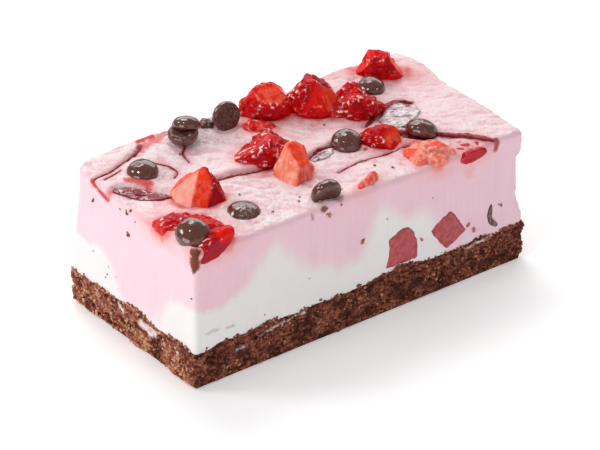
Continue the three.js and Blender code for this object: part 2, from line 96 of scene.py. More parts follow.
# Smooth noise from -1 to 1 with lumps about one unit across, the same as in the solids
def noise(x, y, z):
    x, y, z = np.broadcast_arrays(*(np.asarray(a, float) for a in (x, y, z)))
    i, j, k = np.floor(x), np.floor(y), np.floor(z)
    fx, fy, fz = (smoothStep(0, 1, a) for a in (x - i, y - j, z - k))
    total = np.zeros(x.shape)
    for a, b, c in itertools.product((0, 1), repeat=3):
        weight = (fx if a else 1 - fx) * (fy if b else 1 - fy) * (fz if c else 1 - fz)
        total += weight * latticeValue(i + a, j + b, k + c)
    return 2 * total - 1


def layeredNoise(x, y, z, layers=3):
    total, share = 0, 1
    for layer in range(layers):
        scale = 2 ** layer
        total = total + share * noise(x * scale + 7 * layer, y * scale, z * scale - 5 * layer)
        share *= 0.5
    return total / (2 - share * 2)


# Distance to the nearest and second nearest of points strewn one to a unit cell
def cellDistances(x, y, z):
    i, j, k = np.floor(x), np.floor(y), np.floor(z)
    near = np.full(np.shape(x), 9.0)
    second = near.copy()
    for a, b, c in itertools.product((-1, 0, 1), repeat=3):
        ci, cj, ck = i + a, j + b, k + c
        px = ci + latticeValue(ci, cj, ck + 101)
        py = cj + latticeValue(ci, cj, ck + 211)
        pz = ck + latticeValue(ci, cj, ck + 307)
        distance = np.sqrt((x - px) ** 2 + (y - py) ** 2 + (z - pz) ** 2)
        second = np.minimum(second, np.maximum(near, distance))
        near = np.minimum(near, distance)
    return near, second


# Distance to a path on the flat, and on which side of it a place lies: 1 left, -1 right
def pathDistance(x, y, path):
    nearest = np.full(np.shape(x), np.inf)
    side = np.zeros(np.shape(x))
    for (startX, startY), (endX, endY) in zip(path, path[1:]):
        runX, runY = endX - startX, endY - startY
        along = ((x - startX) * runX + (y - startY) * runY) / (runX ** 2 + runY ** 2)
        t = np.clip(along, 0, 1)
        offX, offY = x - startX - t * runX, y - startY - t * runY
        distance = np.hypot(offX, offY)
        closer = distance < nearest
        nearest = np.where(closer, distance, nearest)
        side = np.where(closer, np.sign(runX * offY - runY * offX), side)
    return nearest, side


# Working in Blender

# Draws places that stand out past the CAD's box gently back into it
def insideCad(places):
    gap, soft = 0.01, 0.6  # how far inside they stay, and over what width they are slowed down
    low, high = (np.array(corner) / mm for corner in cadBox)
    low, high = low + gap, high - gap
    over = np.clip(places - (high - soft), 0, None)
    under = np.clip((low + soft) - places, 0, None)
    under[:, 2] = np.clip(low[2] - places[:, 2], 0, None)
    pulled = places - over + soft * np.tanh(over / soft)
    pulled[:, :2] += (under - soft * np.tanh(under / soft))[:, :2]
    pulled[:, 2] += under[:, 2]
    return pulled


def deselectAll():
    if bpy.context.object and bpy.context.object.mode != "OBJECT":
        bpy.ops.object.mode_set(mode="OBJECT")
    bpy.ops.object.select_all(action="DESELECT")


def startPiece(name):
    piece = bpy.context.active_object
    piece.name = piece.data.name = name
    return piece


def points(piece):
    flat = np.empty(len(piece.data.vertices) * 3)
    piece.data.vertices.foreach_get("co", flat)
    return flat.reshape(-1, 3)


def movePoints(piece, places):
    piece.data.vertices.foreach_set("co", (np.asarray(places) * mm).ravel())
    piece.data.update()


# Selects the edges or faces for which a test on the places of their corners says yes
def pick(piece, kind, test):
    bpy.ops.object.mode_set(mode="EDIT")
    bpy.ops.mesh.select_all(action="DESELECT")
    bpy.ops.mesh.select_mode(type="EDGE" if kind == "edges" else "FACE")
    bpy.ops.object.mode_set(mode="OBJECT")
    co = points(piece)
    for item in getattr(piece.data, kind):
        item.select = bool(test(co[list(item.vertices)]))
    bpy.ops.object.mode_set(mode="EDIT")


def selectOnly(piece):
    deselectAll()
    bpy.context.view_layer.objects.active = piece
    piece.select_set(True)


def recalculateNormals(piece):
    selectOnly(piece)
    bpy.ops.object.mode_set(mode="EDIT")
    bpy.ops.mesh.select_all(action="SELECT")
    bpy.ops.mesh.normals_make_consistent(inside=False)
    bpy.ops.object.mode_set(mode="OBJECT")


def applyModifier(piece, kind, **settings):
    selectOnly(piece)
    modifier = piece.modifiers.new(kind.title(), kind)
    for name, value in settings.items():
        setattr(modifier, name, value)
    bpy.ops.object.modifier_apply(modifier=modifier.name)


def shadeSmooth(piece):
    selectOnly(piece)
    bpy.ops.object.shade_smooth()


# Stores a number or a colour for every vertex, in a layer that a material reads by its name
def paint(piece, name, values):
    values = np.asarray(values, float)
    if values.ndim == 1:
        layer = piece.data.attributes.new(name, "FLOAT", "POINT")
        layer.data.foreach_set("value", values)
        return
    layer = piece.data.attributes.new(name, "FLOAT_COLOR", "POINT")
    layer.data.foreach_set("color", np.c_[values, np.ones(len(values))].ravel())


# The faces' numbers and corners in an order that the grid gives, with whole numbers for each corner,
# because the operators number faces and their corners anew in each run
def facesInOrder(piece, grid):
    keys = [tuple(row) for row in np.asarray(grid).astype(int).tolist()]
    faces = []
    for polygon in piece.data.polygons:
        corners = list(polygon.vertices)
        first = min(range(len(corners)), key=lambda number: keys[corners[number]])
        corners = corners[first:] + corners[:first]
        faces.append(([keys[corner] for corner in corners], polygon.index, corners))
    faces.sort()
    return [index for _, index, _ in faces], [corners for _, _, corners in faces]


# A mesh written from arrays of places in millimetres and of faces
def meshPiece(name, places, faces):
    mesh = bpy.data.meshes.new(name)
    mesh.from_pydata((places * mm).tolist(), [], faces)
    piece = bpy.data.objects.new(name, mesh)
    bpy.context.scene.collection.objects.link(piece)
    return piece


def finishPiece(piece, material, slot, *nodes):
    piece.data.materials.clear()
    piece.data.materials.append(material)
    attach(piece, "root")
    if nodes:
        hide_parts(*nodes)


# Materials

def linearColour(code):
    values = [int(code[i:i + 2], 16) / 255 for i in (1, 3, 5)]
    return tuple(v / 12.92 if v <= 0.04045 else ((v + 0.055) / 1.055) ** 2.4 for v in values)


def colour(code):
    return (*linearColour(code), 1)


def newMaterial(name):
    material = bpy.data.materials.new(name)
    material.use_nodes = True
    material.node_tree.nodes.clear()
    return material


# Adds a node with its settings and links, and gives back one of its outputs
def addNode(material, kind, inputs=None, out=0, ramp=(), **settings):
    node = material.node_tree.nodes.new("ShaderNode" + kind)
    for name, value in settings.items():
        setattr(node, name, value)
    for socket, value in (inputs or {}).items():
        if isinstance(value, bpy.types.NodeSocket):
            material.node_tree.links.new(value, node.inputs[socket])
        else:
            node.inputs[socket].default_value = value
    for _ in ramp[2:]:
        node.color_ramp.elements.new(1)
    for number, (place, value) in enumerate(ramp):
        node.color_ramp.elements[number].position = place
        node.color_ramp.elements[number].color = value
    return node.outputs[out] if node.outputs else None


def objectPlace(material, stretch=(1, 1, 1)):
    coordinates = addNode(material, "TexCoord", out="Object")
    return addNode(material, "Mapping", {"Vector": coordinates, "Scale": stretch})


# Lays colours over a first one, each as far as its own share says
def laidOver(material, body, *coats):
    for share, tone in coats:
        body = addNode(
            material, "Mix", {0: share, 6: body, 7: tone}, out=2, data_type="RGBA", clamp_factor=True)
    return body


def endMaterial(material, inputs):
    shader = addNode(material, "BsdfPrincipled", inputs)
    addNode(material, "OutputMaterial", {"Surface": shader})
    return material


perMetre = 1000  # noise scales below are in lumps for each millimetre, times this


# Set cream mousse, whipped and chilled: a soft satin skin with fine air, a little light goes in
def mousseMaterial():
    material = newMaterial("Chilled_mousse_pink_and_white")
    place = objectPlace(material)
    streakPlace = objectPlace(material, (1, 1, 0.06))
    whiteShare, topShare, ridge, juice, stain, smear, wet = (
        addNode(material, "Attribute", out="Fac", attribute_name=name)
        for name in ("whiteShare", "topShare", "ridge", "juice", "sauceStain", "smear", "wet"))
    streaks, clouds, patches, fine = (
        addNode(material, "TexNoise", {"Vector": vector, "Scale": scale * perMetre, "Detail": detail})
        for vector, scale, detail in (
            (streakPlace, 1.1, 3), (place, 0.12, 2), (place, 0.22, 4), (place, 1.6, 4)))
    streakShare = addNode(material, "MapRange", {
        0: streaks, "From Min": 0.35, "From Max": 0.75, "To Max": 0.2})
    patchShare = addNode(material, "MapRange", {0: patches, "From Min": 0.3, "From Max": 0.7})
    # Thin juice, together with the painted pink glow in the shade beside the sauce
    thinJuiceAndShadeGlow = addNode(material, "MapRange", {0: juice, "From Max": 0.5})
    thickJuice = addNode(material, "MapRange", {0: juice, "From Min": 0.35, "From Max": 0.9})
    soaked = addNode(material, "MapRange", {
        0: fine, "From Min": 0.4, "From Max": 0.55, "To Min": 0.5, "To Max": 0})
    soakedShare = addNode(material, "Math", {0: soaked, 1: wet}, operation="MULTIPLY")
    white = laidOver(material, colour("#e7e3e2"), (clouds, colour("#edebe9")))
    # The top's tone, with the wrinkles' crests painted paler as a painted highlight
    topTone = laidOver(
        material, colour("#e9b6c1"), (patchShare, colour("#f0cdd3")), (ridge, colour("#fdf0ef")))
    body = laidOver(
        material, colour("#edc0cf"), (clouds, colour("#f2ccd9")), (streakShare, colour("#f5dfe6")),
        (whiteShare, white), (topShare, topTone), (thinJuiceAndShadeGlow, colour("#f3abac")),
        (thickJuice, colour("#d82a26")), (stain, colour("#a01832")), (smear, colour("#74300f")),
        (soakedShare, colour("#cfa2a6")))
    roughness = addNode(material, "MapRange", {0: wet, "To Min": 0.5, "To Max": 0.12})
    bumpHeight = addNode(material, "Math", {0: fine, 1: streaks}, operation="ADD")
    bumpDepth = addNode(material, "MapRange", {0: topShare, "To Min": 0.14 * mm, "To Max": 0.44 * mm})
    bump = addNode(material, "Bump", {"Height": bumpHeight, "Strength": 0.6, "Distance": bumpDepth})
    return endMaterial(material, {
        "Base Color": body, "Roughness": roughness, "Normal": bump, "IOR": 1.4,
        "Subsurface Weight": 0.08, "Subsurface Radius": (1.0, 0.6, 0.5), "Subsurface Scale": 0.5 * mm})


# Baked chocolate sponge: open, dry crumb, fully matt, with painted shade down in its pits
def spongeMaterial():
    material = newMaterial("Baked_chocolate_sponge")
    grain = addNode(material, "TexNoise", {
        "Vector": objectPlace(material), "Scale": 1.5 * perMetre, "Detail": 5})
    tone = addNode(material, "Attribute", out="Fac", attribute_name="tone")
    cream = addNode(material, "Attribute", out="Fac", attribute_name="cream")
    together = addNode(material, "Math", {0: grain, 1: tone}, operation="ADD")
    middle = addNode(material, "Math", {0: together, 1: 0.5}, operation="MULTIPLY")
    crumb = addNode(material, "ValToRGB", {"Fac": middle}, ramp=[
        (0.16, colour("#120604")), (0.33, colour("#582a1f")), (0.5, colour("#9c5c46")),
        (0.74, colour("#dca582"))])
    bump = addNode(material, "Bump", {"Height": grain, "Strength": 0.8, "Distance": 0.3 * mm})
    return endMaterial(material, {
        "Base Color": laidOver(material, crumb, (cream, colour("#ecd9d6"))), "Roughness": 0.85,
        "Normal": bump, "IOR": 1.4, "Specular IOR Level": 0.25})


# Ripe strawberry, wet with its own juice: red light comes back from inside, and the wet skin
# breaks the light into small sharp highlights; pale strokes on its crests are painted highlights, with some
# pale pulp
def strawberryMaterial():
    material = newMaterial("Wet_ripe_strawberry")
    place = objectPlace(material)
    fibrePlace = objectPlace(material, (1, 1, 0.3))
    flesh = addNode(material, "Attribute", out="Color", attribute_name="flesh")
    fibre = addNode(material, "Attribute", out="Fac", attribute_name="fibre")
    pulp = addNode(material, "Attribute", out="Fac", attribute_name="pulp")
    cells = addNode(material, "TexVoronoi", {"Vector": place, "Scale": 1.1 * perMetre}, out="Distance")
    depths, fibres, broken = (
        addNode(material, "TexNoise", {"Vector": vector, "Scale": scale * perMetre, "Detail": detail})
        for vector, scale, detail in ((place, 0.5, 2), (fibrePlace, 0.9, 3), (place, 1.2, 1)))
    mostDeep = addNode(material, "MapRange", {0: fibre, "From Max": 0.45, "To Min": 0.55, "To Max": 0})
    deeper = addNode(material, "MapRange", {
        0: depths, "From Min": 0.42, "From Max": 0.62, "To Max": mostDeep})
    fibreShare = addNode(material, "MapRange", {0: fibres, "From Min": 0.42, "From Max": 0.66})
    paleShare = addNode(material, "Math", {0: fibreShare, 1: fibre}, operation="MULTIPLY")
    # Pale strokes on the crests: painted glints, with some pale pulp
    dashes = addNode(material, "MapRange", {0: broken, "From Min": 0.49, "From Max": 0.55})
    pulpAndGlintShare = addNode(material, "Math", {0: dashes, 1: pulp}, operation="MULTIPLY")
    body = laidOver(
        material, flesh, (deeper, colour("#a8000c")), (paleShare, colour("#ffc4b2")),
        (pulpAndGlintShare, colour("#ffeeea")))
    bump = addNode(material, "Bump", {"Height": cells, "Strength": 0.12, "Distance": 0.2 * mm})
    return endMaterial(material, {
        "Base Color": body, "Roughness": 0.5, "Normal": bump, "IOR": 1.33,
        "Specular IOR Level": 0.05, "Coat Normal": bump,
        "Subsurface Weight": 0.5, "Subsurface Radius": (1.0, 0.12, 0.06), "Subsurface Scale": 1.2 * mm,
        "Coat Weight": 0.32, "Coat Roughness": 0.03, "Coat IOR": 1.42})


# Strawberry cut while frozen: dull, pale, purplish flesh with a darker rim
def cutStrawberryMaterial():
    material = newMaterial("Frozen_strawberry_cut_face")
    flesh = addNode(material, "Attribute", out="Color", attribute_name="flesh")
    fibres = addNode(material, "TexNoise", {
        "Vector": objectPlace(material), "Scale": 0.9 * perMetre, "Detail": 5})
    share = addNode(material, "MapRange", {0: fibres, "From Min": 0.3, "From Max": 0.7})
    bump = addNode(material, "Bump", {"Height": fibres, "Strength": 0.4, "Distance": 0.15 * mm})
    return endMaterial(material, {
        "Base Color": laidOver(material, flesh, (share, colour("#c45c60"))), "Roughness": 0.5,
        "Normal": bump, "IOR": 1.36,
        "Subsurface Weight": 0.2, "Subsurface Radius": (1.0, 0.3, 0.2), "Subsurface Scale": 0.8 * mm})


# Dark chocolate, moulded and sugar polished: glossy, with fine bloom and specks on its skin, and pale dots
# painted on as glints where its speckle layer says
def chocolateMaterial():
    material = newMaterial("Polished_dark_chocolate")
    place = objectPlace(material)
    dull = addNode(material, "Attribute", out="Fac", attribute_name="dull")
    speckle = addNode(material, "Attribute", out="Fac", attribute_name="speckle")
    specks, dots = (
        addNode(material, "TexNoise", {"Vector": place, "Scale": scale * perMetre, "Detail": detail})
        for scale, detail in ((1.3, 4), (1.9, 2)))
    bloom = addNode(material, "MapRange", {0: specks, "From Min": 0.52, "From Max": 0.76, "To Max": 0.6})
    mostPale = addNode(material, "MapRange", {0: speckle, "To Max": 0.5})
    # Pale dots where the speckle layer says: painted glints
    glintDots = addNode(material, "MapRange", {
        0: dots, "From Min": 0.55, "From Max": 0.63, "To Max": mostPale})
    body = laidOver(
        material, colour("#561c06"), (bloom, colour("#7c3c20")), (dull, colour("#542c26")),
        (glintDots, colour("#cbbbae")))
    gloss = addNode(material, "MapRange", {0: dull, "To Min": 1, "To Max": 0.45})
    strength = addNode(material, "MapRange", {0: speckle, "To Min": 0.03, "To Max": 1})
    bump = addNode(material, "Bump", {"Height": specks, "Strength": strength, "Distance": 0.26 * mm})
    return endMaterial(material, {
        "Base Color": body, "Roughness": 0.5, "Normal": bump, "IOR": 1.46, "Specular IOR Level": 0.1,
        "Coat Weight": gloss, "Coat Roughness": 0.06, "Coat IOR": 1.8, "Coat Normal": bump})


# How much pale froth and painted sparkle break up a puddle: thin wavy strokes where its layer says
def frothAndGlintShare(material, place):
    froth = addNode(material, "Attribute", out="Fac", attribute_name="froth")
    waves = addNode(material, "TexNoise", {
        "Vector": place, "Scale": 0.7 * perMetre, "Detail": 3, "Distortion": 0.8})
    off = addNode(material, "Math", {0: waves, 1: 0.5}, operation="SUBTRACT")
    near = addNode(material, "Math", {0: off}, operation="ABSOLUTE")
    stroke = addNode(material, "MapRange", {0: near, "From Min": 0.05, "From Max": 0.02})
    return addNode(material, "Math", {0: stroke, 1: froth}, operation="MULTIPLY")


# Clear syrup over mousse, drawn opaque: its greys are a painted reflection, its white strokes painted
# sparkles with some froth
def syrupMaterial():
    material = newMaterial("Clear_syrup_over_mousse")
    place = objectPlace(material)
    clouds = addNode(material, "TexNoise", {"Vector": place, "Scale": 0.8 * perMetre, "Detail": 4})
    # Greys of the syrup: a painted reflection
    syrup = addNode(material, "ValToRGB", {"Fac": clouds}, ramp=[
        (0.36, colour("#6c2c38")), (0.42, colour("#ab8a8e")), (0.52, colour("#c9b4b5")),
        (0.64, colour("#eadcdc"))])
    body = laidOver(material, syrup, (frothAndGlintShare(material, place), colour("#fff6f6")))
    bump = addNode(material, "Bump", {"Height": clouds, "Strength": 0.5, "Distance": 0.3 * mm})
    return endMaterial(material, {
        "Base Color": body, "Roughness": 0.4, "Normal": bump, "IOR": 1.4,
        "Coat Weight": 0.7, "Coat Roughness": 0.05, "Coat IOR": 1.4, "Coat Normal": bump})


# Strawberry sauce: dark, clear red syrup, glossy as glass, with pale froth and painted sparkles on its pool
def sauceMaterial():
    material = newMaterial("Clear_strawberry_sauce")
    place = objectPlace(material)
    waves = addNode(material, "TexNoise", {"Vector": place, "Scale": 0.9 * perMetre, "Detail": 3})
    body = laidOver(
        material, colour("#4e0010"), (waves, colour("#b01028")),
        (frothAndGlintShare(material, place), colour("#fff0f0")))
    bump = addNode(material, "Bump", {"Height": waves, "Strength": 1, "Distance": 0.5 * mm})
    return endMaterial(material, {
        "Base Color": body, "Roughness": 0.3, "Normal": bump, "IOR": 1.33,
        "Specular IOR Level": 0.2, "Coat Weight": 0.7, "Coat Roughness": 0.05, "Coat IOR": 1.33,
        "Coat Normal": bump})


# Places and heights that the solids share

folds = [  # each is raised to the left of its path, as the spreading knife left it
    {"path": [(-50, 15.2), (-40.6, 16.9), (-35, 18.7), (-32.6, 20.2), (-24, 23.6)], "rise": 0.25, "reach": 4},
    {"path": [(-26, -1), (-21, -1.5), (-16, -3), (-4, -5.5), (6, -4)], "rise": 1, "reach": 6},
    {"path": [(22.7, -9), (25, -12), (29.8, -14.4), (33.1, -17.2), (36.4, -20.5), (39.4, -25)],
     "rise": 0.7, "reach": 6},
    {"path": [(-51, 8.6), (-47.5, 9.2), (-45.2, 8.7), (-43, 7.1), (-41, 4.9), (-39.2, 2.2), (-37.5, 0)],
     "rise": 0.9, "reach": 5},
]
topRolls = [
    {"rise": 0.9, "centre": (-32, 22), "reach": (14, 6)},
    {"rise": 0.9, "centre": (30, 22), "reach": (8, 6)},
    {"rise": 1.1, "centre": (47, 14), "reach": (6, 6)},
    {"rise": -0.6, "centre": (-43, 3.5), "reach": (6, 4)},
]
crumbPiles = [
    {"rise": 1.5, "centre": (-50, -1), "reach": (4, 4)},
    {"rise": 1.3, "centre": (10, -25), "reach": (5, 5)},
]
sponge = {
    "height": 10.4, "half": (50.1, 24.65), "cornerRadius": 1.2, "edgeLift": 0.5, "step": 0.36,
    "cragDepth": 0.7, "cragSize": 2.6, "pitDepth": 1.0, "pitSize": 1.3, "grainDepth": 0.34, "grainSize": 0.9,
}
mousse = {
    "height": 35.6, "left": 49.9, "front": 24.6, "back": 24.5, "edgeRadius": 1.3, "step": 0.42,
    "footDepth": 2, "footInset": 1.6, "sideRows": 56, "wrinkle": 0.34,
    "edgeLines": (0, 0.05, 0.18, 0.4, 0.7, 1, 1.3),
}


def moundSum(mounds, x, y):
    return sum(m["rise"] * hump(x, m["centre"][0], m["reach"][0]) * hump(y, m["centre"][1], m["reach"][1])
               for m in mounds)


def spongeTop(x, y):
    dip = 0.8 * smoothStep(-42, -48, x)
    return sponge["height"] - dip + moundSum(crumbPiles, x, y) + 0.35 * noise(x / 5, y / 5, 3)


# The spread mousse is raised on one side of a fold, and falls away from it gently
def foldHeight(x, y, fold):
    nearest, side = pathDistance(x, y, fold["path"])
    lip = fold["rise"] * smoothStep(0, 1.0, nearest) * hump(nearest, 0, fold["reach"])
    return np.where(side > 0, lip, 0)


def mousseTop(x, y):
    slope = 0.8 * smoothStep(-24, -8, y) + 0.7 * smoothStep(2, 16, y)
    rightLip = 0.3 * smoothStep(38, 48, x) * smoothStep(12, 4, y)
    folded = sum(foldHeight(x, y, fold) for fold in folds)
    ripple = 0.2 * noise(x / 7, y / 7, 17)
    return mousse["height"] + slope + moundSum(topRolls, x, y) + rightLip + folded + ripple


# Spreads places of a square, -1 to 1 each way, over an oblong with rounded corners
def roundedPlan(u, v, reachX, reachY, radius):
    x, y = u * reachX, v * reachY
    overX, overY = np.abs(x) - (reachX - radius), np.abs(y) - (reachY - radius)
    inCorner = (overX > 0) & (overY > 0)
    length = np.where(inCorner, np.hypot(overX, overY), 1)
    shrink = np.maximum(overX, overY) / length
    x = np.where(inCorner, np.sign(x) * (reachX - radius + overX * shrink), x)
    y = np.where(inCorner, np.sign(y) * (reachY - radius + overY * shrink), y)
    return x, y


# Toppings: where each lies, as in the solids

# Cuts are flat faces: azimuth and elevation of each, distance from the middle and kind of flesh.
# Lobes stretch it: azimuth, elevation, share and width in degrees. Zones colour it: azimuth,
# elevation, width in degrees and kind. Azimuth 0 is the viewer's right and -90 faces the viewer.
# Sink is how deep it lies in the mousse, lumps how uneven it is, skin the kind of flesh where it
# isn't cut, and crush how strong the relief of crushed flesh is.
berries = [
    {"name": "strawberry_corner_flake", "at": (-44.2, -12.9), "size": (14, 8, 4), "sink": 2,
     "lobes": [(8, 0, 0.1, 20)], "zones": [(195, -10, 26, "juicy"), (0, 30, 26, "bright")], "lumps": 0.24,
     "skin": "deep", "crush": 1},
    {"name": "strawberry_wedge_left", "at": (-35, -5.8), "size": (14, 11, 11), "sink": 2.6,
     "cuts": [(233, 35, 1.9, "pale"), (-86, 34, 1.75, "orange"), (-50, 22, 3, "seedy"),
     (0, 28, 3.9, "seedy"), (80, 35, 4, "red"), (165, 48, 3.3, "orange")], "lobes": [(-10, -28, 0.12, 24)],
     "lumps": 0.03, "skin": "red", "crush": 0.7},
    {"name": "strawberry_crushed_middle", "at": (-10.6, 0.6), "size": (12.8, 11.5, 8), "sink": 2.2,
     "cuts": [(175, 48, 3.1, "deep"), (10, 50, 3.2, "deep")], "lobes": [(190, -8, 0.3, 16),
     (-100, -20, 0.1, 25)], "zones": [(188, 0, 18, "juicy"), (-150, 55, 42, "juicy"),
     (20, 60, 30, "juicy")], "lumps": 0.16, "skin": "deep", "crush": 1.1},
    {"name": "strawberry_wedge_middle", "at": (-9.6, -9.2), "size": (10, 12, 11), "sink": 2.8,
     "cuts": [(-125, 20, 2.9, "salmon"), (-45, 56, 3.2, "orange"), (-55, 10, 4, "blush"),
     (8, 14, 3.3, "blush"), (160, 20, 3.9, "salmon"), (80, 20, 4, "salmon")], "lobes": [(-8, -4, 0.25, 14),
     (-92, -30, 0.5, 18)], "lumps": 0.04, "skin": "salmon", "crush": 0.3},
    {"name": "strawberry_flat_back", "at": (-4, 12.9), "size": (7.6, 4.2, 2.8), "sink": 1.3,
     "lobes": [(10, 10, 0.25, 25)], "zones": [(200, 20, 50, "bright")], "lumps": 0.35, "skin": "juicy",
     "crush": 0.8},
    {"name": "strawberry_back_left", "at": (2.7, 17.2), "size": (12, 9.5, 9.4), "sink": 1.8,
     "cuts": [(-80, 50, 3.9, "orange"), (165, 40, 4.5, "red"), (20, 40, 4.5, "orange")],
     "lobes": [(188, -22, 0.22, 20)], "zones": [(-90, -5, 40, "deep"), (-160, 0, 35, "red")],
     "lumps": 0.07, "skin": "red", "crush": 0.9},
    {"name": "strawberry_back_middle", "at": (12.6, 12.3), "size": (13, 10.5, 10.8), "sink": 2,
     "cuts": [(-35, 24, 4.5, "orange"), (12, 30, 5, "orange"), (170, 42, 4.4, "seedy"),
     (-75, 28, 4.4, "bright"), (12, 58, 4.4, "seedy")], "lobes": [(185, 20, 0.08, 20)],
     "zones": [(200, 50, 45, "deep"), (-150, 30, 40, "deep")], "lumps": 0.08, "skin": "red", "crush": 0.9},
    {"name": "strawberry_back_crushed", "at": (21.8, 7.2), "size": (12.4, 12, 7.6), "sink": 2,
     "cuts": [(20, 52, 3, "deep")], "lobes": [(-140, -15, 0.22, 22)], "zones": [(-140, -12, 22, "juicy"),
     (-100, 60, 30, "red")], "lumps": 0.17, "skin": "deep", "crush": 1.1},
    {"name": "strawberry_back_right", "at": (37.2, 17.2), "size": (13.6, 7, 7.6), "sink": 1.8,
     "cuts": [(182, 42, 3.5, "bright"), (-4, 36, 3.8, "orange")], "lobes": [(95, 70, 0.12, 25)],
     "zones": [(-90, 30, 45, "deep")], "lumps": 0.16, "skin": "red", "crush": 0.9},
    {"name": "strawberry_right_middle", "at": (16.4, -9.3), "size": (10.6, 8, 5.4), "sink": 1.8,
     "cuts": [(-30, 38, 2.7, "orange")], "lobes": [(186, 0, 0.12, 20)], "zones": [(-40, -25, 30, "red")],
     "lumps": 0.1, "skin": "deep", "crush": 0.9},
    {"name": "strawberry_sliver_front", "at": (1.7, -22.1), "size": (7.8, 2.4, 3.6), "sink": 1.9,
     "turn": 13, "tilt": 9, "lobes": [(10, 30, 0.3, 22)], "lumps": 0.1, "skin": "blush", "crush": 0.3},
    {"name": "strawberry_crushed_front", "at": (21.9, -19.2), "size": (11.4, 11, 4), "sink": 2,
     "lobes": [(5, 35, 0.35, 20), (-100, 0, 0.1, 30)], "zones": [(200, 10, 24, "orange"),
     (20, 40, 25, "orange")], "lumps": 0.24, "skin": "flap", "crush": 0.75},
    {"name": "strawberry_sunk_front", "at": (32.2, -22.4), "size": (11, 7, 3.8), "sink": 3.4, "turn": 0,
     "cuts": [(-90, 0, 2.38, "cherry"), (-90, 85, 1.6, "cherry")], "lumps": 0.05, "skin": "deep",
     "crush": 0.4},
    {"name": "strawberry_slab_corner", "at": (-43.6, -22.8), "size": (12, 6.4, 4.8), "sink": 2.6,
     "turn": 0, "tilt": 27, "cuts": [(-90, 0, 1.95, "frozen")], "zones": [(-20, 20, 36, "bright")],
     "lumps": 0.06, "skin": "seedy", "crush": 0.5},
]
drops = [  # lift of the middle off the mousse, lean in degrees, towards which azimuth, share of specks and painted glints
    {"name": "chocolate_drop_left", "at": (-38.6, 11), "width": 7.6, "lift": 0.75, "lean": 8,
     "towards": -90},
    {"name": "chocolate_drop_flat", "at": (-22.9, 16.6), "width": 7.5, "lift": 2.4, "lean": 188,
     "towards": -90},
    {"name": "chocolate_drop_stacked", "at": (-20.9, 18), "width": 7.1, "lift": 4.1, "lean": 26,
     "towards": 90},
    {"name": "chocolate_drop_edge", "at": (-9.6, 17.7), "width": 7.4, "lift": 3, "lean": 100,
     "towards": 122},
    {"name": "chocolate_drop_back", "at": (30.7, 12.2), "width": 7, "lift": 1, "lean": 14, "towards": -110},
    {"name": "chocolate_drop_right", "at": (27.1, -11.4), "width": 8, "lift": 0.8, "lean": 20,
     "towards": 60},
    {"name": "chocolate_drop_middle", "at": (8.4, -6), "width": 7.5, "lift": 1.4, "lean": 26,
     "towards": -90, "speckle": 1},
    {"name": "chocolate_drop_front", "at": (-10.4, -21.6), "width": 7.6, "lift": 1.7, "lean": 68,
     "towards": 121, "speckle": 0.8},
    {"name": "chocolate_drop_sunk", "at": (-29.4, -15.6), "width": 8.6, "lift": -0.5, "lean": 3,
     "towards": -90, "speckle": 1},
    {"name": "chocolate_drop_corner", "at": (-46, -18.8), "width": 8.1, "lift": 1.7, "lean": 30,
     "towards": -85, "speckle": 0.4},
]
chip = {"name": "chocolate_chip_back", "at": (-13.6, 20.6), "size": (4.6, 3, 2.4), "sink": 0.5,
        "cuts": [(150, 30, 1.3, "deep")], "lumps": 0.2, "skin": "deep", "crush": 0}

sauceLines = [  # the middle line of each run of sauce on the top, with its half width
    {"path": [(-49.6, 15.2), (-44.6, 15.8), (-40.6, 16.9), (-37.6, 17.8)], "half": 0.3},
    {"path": [(-38.2, 17.6), (-35, 18.7), (-33.2, 19.8)], "half": 0.42},
    {"path": [(-47.7, 13.4), (-41.9, 15.1)], "half": 0.2},
    {"path": [(-34, 13.4), (-31.6, 10.6), (-31.2, 7.4), (-33.4, 5.6)], "half": 0.24},
    {"path": [(-40.4, 1), (-39, -1.4), (-38, -3.4)], "half": 0.3},
    {"path": [(-26.4, 9.3), (-25.7, 12.9), (-22.9, 15.6)], "half": 0.22},
    {"path": [(-26, -1.2), (-21, -1.7), (-16, -3.2), (-9, -5.2), (-4, -5.7), (2, -4.2), (6, -4.2)],
     "half": 0.36},
    {"path": [(-0.7, -14.3), (6.3, -13.4), (14.3, -14.3), (21.4, -14.8)], "half": 0.17},
    {"path": [(18.2, -1.2), (21.3, 0.4), (26.2, 3), (30.5, 4.3), (33.6, 3.7), (35.2, 1.9)], "half": 0.8},
    {"path": [(18.4, -2.6), (19.8, -5), (22.3, -8.6), (25, -12.2), (28.4, -14)], "half": 1},
    {"path": [(29.8, 1.8), (32, 0.7), (34.4, 0.6)], "half": 0.26},
    {"path": [(21.6, -7), (22.7, -9), (25, -12), (29.8, -14.4), (33.1, -17.2), (36.4, -20.5), (39, -24)],
     "half": 0.6},
]
pools = [  # outlines of the puddles: crimson sauce, and clear syrup painted grey as a reflection, with painted sparkles
    {"name": "sauce_pool", "corners": [(-49.2, 8.2), (-47.6, 9), (-45.4, 8.5), (-43.2, 6.9), (-41.4, 4.7),
     (-39.9, 2.2), (-39, 0), (-39.6, -1.6), (-41, -1.6), (-42.6, -0.6), (-44.4, 0.9), (-46.2, 3.2),
     (-47.9, 5.8)], "froth": 1},
    {"name": "syrup_loop", "corners": [(22.1, -0.5), (26.7, 2.4), (30.4, 3.7), (33, 3.4), (34.9, 0.4),
     (34, -3), (30.5, -5.2), (27, -7), (23.6, -8.2), (22.6, -5.5), (21.6, -3.4)], "froth": 0.8},
    {"name": "syrup_middle", "corners": [(-3, -5.8), (-0.6, -5.2), (2, -4.4), (4.6, -5), (4.4, -6.8),
     (0.4, -7.8), (-2.8, -7.5)], "froth": 1},
]


def topAt(x, y):
    return float(mousseTop(np.array(x), np.array(y)))


